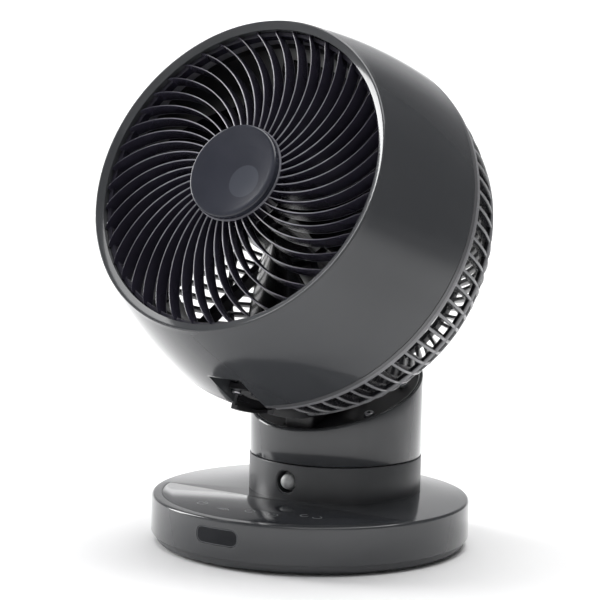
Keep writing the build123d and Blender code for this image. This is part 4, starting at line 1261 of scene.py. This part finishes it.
    def rear_grille(self) -> None:
        """The ribbed dome: ribs, hoops, front ring and centre disc."""
        form = Form()
        hub = self.cap_radius
        for index in range(self.ribs):
            angle = 2 * math.pi * (index + 0.5) / self.ribs
            inner = hub - 1.5 if index % 2 == 0 else self.hoops[0][0]
            start = self.rib_start(angle, inner)
            if start > self.dome_radius - self.shortest_rib:
                continue
            rib = self.rib(start)
            form.add(rib.move(Matrix.Rotation(angle, 4, "Z")))
            rib.bm.free()
        for radius, width in self.hoops:
            top = self.dome_height(radius) + 1.2
            form.add(self.hoop(radius, width, top, top + width + 1.4))
        ring = self.rear - self.dome_ring
        form.add(self.hoop(self.rear_radius - 2.95, 5.3, ring, self.rear - 0.2))
        form.add(self.hoop(self.rear_radius - 4.2, 2.0, ring + 1, self.rear + 3.5))
        front = self.disc + self.disc_thickness
        form.add(Form.disc(hub, self.disc, front, steps=72))
        form.add(self.hoop(hub - 0.5, 3.0, self.dome_height(hub) + 0.5, front))
        form.piece("rear_dome", Body.HEAD, Palette.ribs, ["rear_grille"], HEAD)

    def dome_height(self, radius: float) -> float:
        """The height of the dome's outer surface at a radius."""
        return self.rear - self.dome_depth * math.sqrt(1 - (radius / self.dome_radius) ** 2)


@dataclass
class Impeller:
    """Five wide swept blades on a cup-shaped hub."""

    radius: float = 77.5
    hub_radius: float = 25.0
    low: float = 4.0
    high: float = 40.0
    blades: int = 5
    first: float = -3.0
    thickness: float = 2.0
    bore: float = 2.5

    def build(self) -> None:
        """Build and dress the impeller."""
        form = self.hub()
        for index in range(self.blades):
            blade = self.blade()
            angle = math.radians(self.first) + 2 * math.pi * index / self.blades
            form.add(blade.move(Matrix.Rotation(angle, 4, "Z")))
            blade.bm.free()
        form.piece("impeller_wheel", Body.IMPELLER, Palette.impeller, ["impeller"], HEAD, 40.0)

    def hub(self) -> Form:
        """The hub: a cup open to the motor, with a boss for the shaft."""
        top = self.high - 2
        cup = self.hub_radius - 2.2
        section = Section(self.bore, top).line(self.hub_radius, top).line(self.hub_radius, self.low - 6)
        section.line(cup, self.low - 6).line(cup, top - 3).line(6.0, top - 3)
        section.line(6.0, self.low).line(self.bore, self.low)
        form = section.turned(96)
        form.bevel(ring_edge(self.hub_radius, top), 5.0, 6)
        return form

    def blade(self) -> Form:
        """One blade: a grid wrapped round the axis, thickened and softened at its edges."""
        form = Form()
        bm = form.bm
        bmesh.ops.create_grid(bm, x_segments=22, y_segments=20, size=0.5)
        middle = (self.low + self.high) / 2
        inner = self.hub_radius - 1.0
        for vert in bm.verts:
            share = vert.co.x + 0.5
            across = vert.co.y
            reach = inner + (self.radius - inner) * share
            pitch = math.radians(50 - 32 * share + 11 * share**2)
            chord = 30 + 62 * share - 21 * share**2
            sweep = -3 + 9.8 * share**1.5
            along = sweep + across * chord * math.cos(pitch)
            camber = 3.0 * (0.25 - across**2) * 4 * share
            height = middle + across * chord * math.sin(pitch) + camber
            angle = along / reach
            vert.co = (reach * math.cos(angle), reach * math.sin(angle), height)
        bmesh.ops.recalc_face_normals(bm, faces=bm.faces)
        bmesh.ops.solidify(bm, geom=bm.faces[:], thickness=self.thickness)
        form.mend()
        form.bevel(lambda edge: edge.calc_face_angle(0.0) > 1.1, 0.7, 3)
        return form


# ---------------------------------------------------------------- what the frame already shapes
class Carried(Enum):
    """The slots of the frame's nodes that keep their shape, by the palette's finish."""

    BLACK = "inner_black"
    STEEL = "steel"
    RUBBER = "rubber_black"
    IRON = "ballast_iron"
    BOARD = "board_green"
    MOTOR_CAN = "motor_can"
    CORE = "motor_core"
    ACETAL = "acetal_white"
    CAN = "sensor_can_metal"
    SATIN = "body_satin"


def dress_carried() -> None:
    """Give every shown node of the frame the material of its slot."""
    slots = {part["node"]: part["material_slot"] for part in frame["record"]["subparts"]}
    for name, node in frame["nodes"].items():
        if node.hide_render:
            continue
        finish = getattr(Palette, Carried(slots[name]).name.lower())
        node.data.materials.clear()
        node.data.materials.append(Palette.material(finish))
        log.info("%s keeps its shape, in %s", name, finish.slot)


# ---------------------------------------------------------------- studio
@dataclass
class Softbox:
    """A large soft light."""

    name: str
    place: tuple[float, float, float]
    size: Point
    power: float
    target: tuple[float, float, float] = (0.0, 0.0, 0.15)

    def build(self) -> None:
        """Hang the light and aim it."""
        light = bpy.data.lights.new(self.name, "AREA")
        light.shape = "RECTANGLE"
        light.size, light.size_y = self.size
        light.energy = self.power
        lamp = bpy.data.objects.new(self.name, light)
        lamp.location = self.place
        aim = Vector(self.target) - Vector(self.place)
        lamp.rotation_euler = aim.to_track_quat("-Z", "Y").to_euler()
        bpy.context.scene.collection.objects.link(lamp)


@dataclass
class Studio:
    """The pale floor and sweep, the soft lights and the camera."""

    azimuth: float = 34.71
    elevation: float = 7.6
    distance: float = 1500.08
    focal: float = 2724.97
    side: float = -8.14
    height: float = 138.29
    roll: float = 1.23
    drop: float = -5.51
    frame_size: float = 600.0
    ambient: float = 0.16
    reach: float = 4.2
    bend: float = 1.5
    wall_height: float = 3.0
    pale: Colour = (0.93, 0.93, 0.93)
    pale_shade: Colour = (0.9, 0.9, 0.905)
    # greys painted into the sweep as shade
    high_grey: Colour = (0.35, 0.35, 0.355)
    side_grey: Colour = (0.2, 0.2, 0.203)
    fade_up: Point = (350.0, 900.0)
    fade_back: Point = (0.0, 1500.0)
    fade_across: Point = (400.0, 1000.0)
    fade_turn: Point = (0.3, 0.6)
    softboxes: tuple = (
        Softbox("top", (0.1, 0.2, 2.3), (2.4, 2.4), 75.0),
        Softbox("left", (-2.1, -0.5, 1.0), (0.8, 1.8), 44.0),
        Softbox("wall", (-1.2, 1.8, 2.4), (2.6, 1.0), 80.0, (-2.2, 3.2, 0.9)),
    )

    def build(self) -> None:
        """Set up the whole studio."""
        self.floor()
        self.world()
        for softbox in self.softboxes:
            softbox.build()
        self.camera()
        bpy.context.scene.view_settings.view_transform = "Standard"

    def floor(self) -> None:
        """A round floor that sweeps up into a pale wall."""
        inner = self.reach - self.bend
        section = Section(0, 0).line(inner, 0)
        section.arc(self.reach, self.bend, self.bend * (1 - math.sqrt(0.5)), 14)
        section.line(self.reach, self.wall_height)
        bm = section.turned(96, closed=False).bm
        bm.faces.ensure_lookup_table()
        if min(bm.faces, key=lambda face: face.calc_center_median().z).normal.z < 0:
            bmesh.ops.reverse_faces(bm, faces=bm.faces)
        for face in bm.faces:
            face.smooth = True
        mesh = bpy.data.meshes.new("studio_sweep")
        bm.to_mesh(mesh)
        bm.free()
        mesh.materials.append(self.floor_material())
        sweep = bpy.data.objects.new("studio_sweep", mesh)
        bpy.context.scene.collection.objects.link(sweep)

    def floor_material(self) -> bpy.types.Material:
        """Pale paint with painted shade: greyer high behind the object and far off to its side, standing in for
        less light there.
        """
        surface = Surface("studio_pale")
        grain = surface.noise(3.0)
        colour = surface.mix(self.pale, self.pale_shade, surface.noise(400.0).over(0.3, 0.7))
        facing = Matrix.Rotation(math.radians(self.azimuth), 4, "Z") @ Matrix.Scale(MM, 4)
        across, along, up = surface.local(facing)
        away = (across * across + along * along) ** 0.5
        # where the painted shade falls: far off to the side, and high behind
        side_shade_mask = across.over(*self.fade_across) * (across / away).over(*self.fade_turn)
        high = up.over(*self.fade_up) * along.over(*self.fade_back)
        colour = surface.mix(colour, self.high_grey, high)
        colour = surface.mix(colour, self.side_grey, side_shade_mask * 0.9)
        surface.feed(surface.shader.inputs["Base Color"], colour)
        surface.feed(surface.shader.inputs["Roughness"], grain * 0.1 + 0.75)
        return surface.material

    def world(self) -> None:
        """An even grey surround."""
        world = bpy.data.worlds.new("studio")
        world.use_nodes = True
        ground = world.node_tree.nodes["Background"]
        ground.inputs["Color"].default_value = (1.0, 1.0, 1.0, 1.0)
        ground.inputs["Strength"].default_value = self.ambient
        bpy.context.scene.world = world

    def camera(self) -> None:
        """Place the camera at its fitted station."""
        a, e, roll = (math.radians(x) for x in (self.azimuth, self.elevation, self.roll))
        back = Vector((math.sin(a) * math.cos(e), -math.cos(a) * math.cos(e), math.sin(e)))
        right = Vector((math.cos(a), math.sin(a), 0))
        up = back.cross(right)
        across = right * math.cos(roll) + up * math.sin(roll)
        above = up * math.cos(roll) - right * math.sin(roll)
        station = right * self.side + Vector((0, 0, self.height)) + back * self.distance
        camera = bpy.data.cameras.new("camera")
        camera.sensor_width = 36.0
        camera.lens = self.focal / self.frame_size * camera.sensor_width
        camera.shift_y = self.drop / self.frame_size
        camera.clip_end = 50.0
        thing = bpy.data.objects.new("camera", camera)
        turn = Matrix((across, above, back)).transposed().to_4x4()
        thing.matrix_world = Matrix.Translation(station * MM) @ turn
        bpy.context.scene.collection.objects.link(thing)
        bpy.context.scene.camera = thing


def main() -> None:
    """Build the object's looks, then the studio round it."""
    logging.basicConfig(level=logging.INFO, format="%(name)s: %(message)s")
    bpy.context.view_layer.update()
    for assembly in (Base(), Neck(), Head(), Impeller()):
        assembly.build()
    dress_carried()
    Studio().build()


if __name__ == "__main__":
    main()
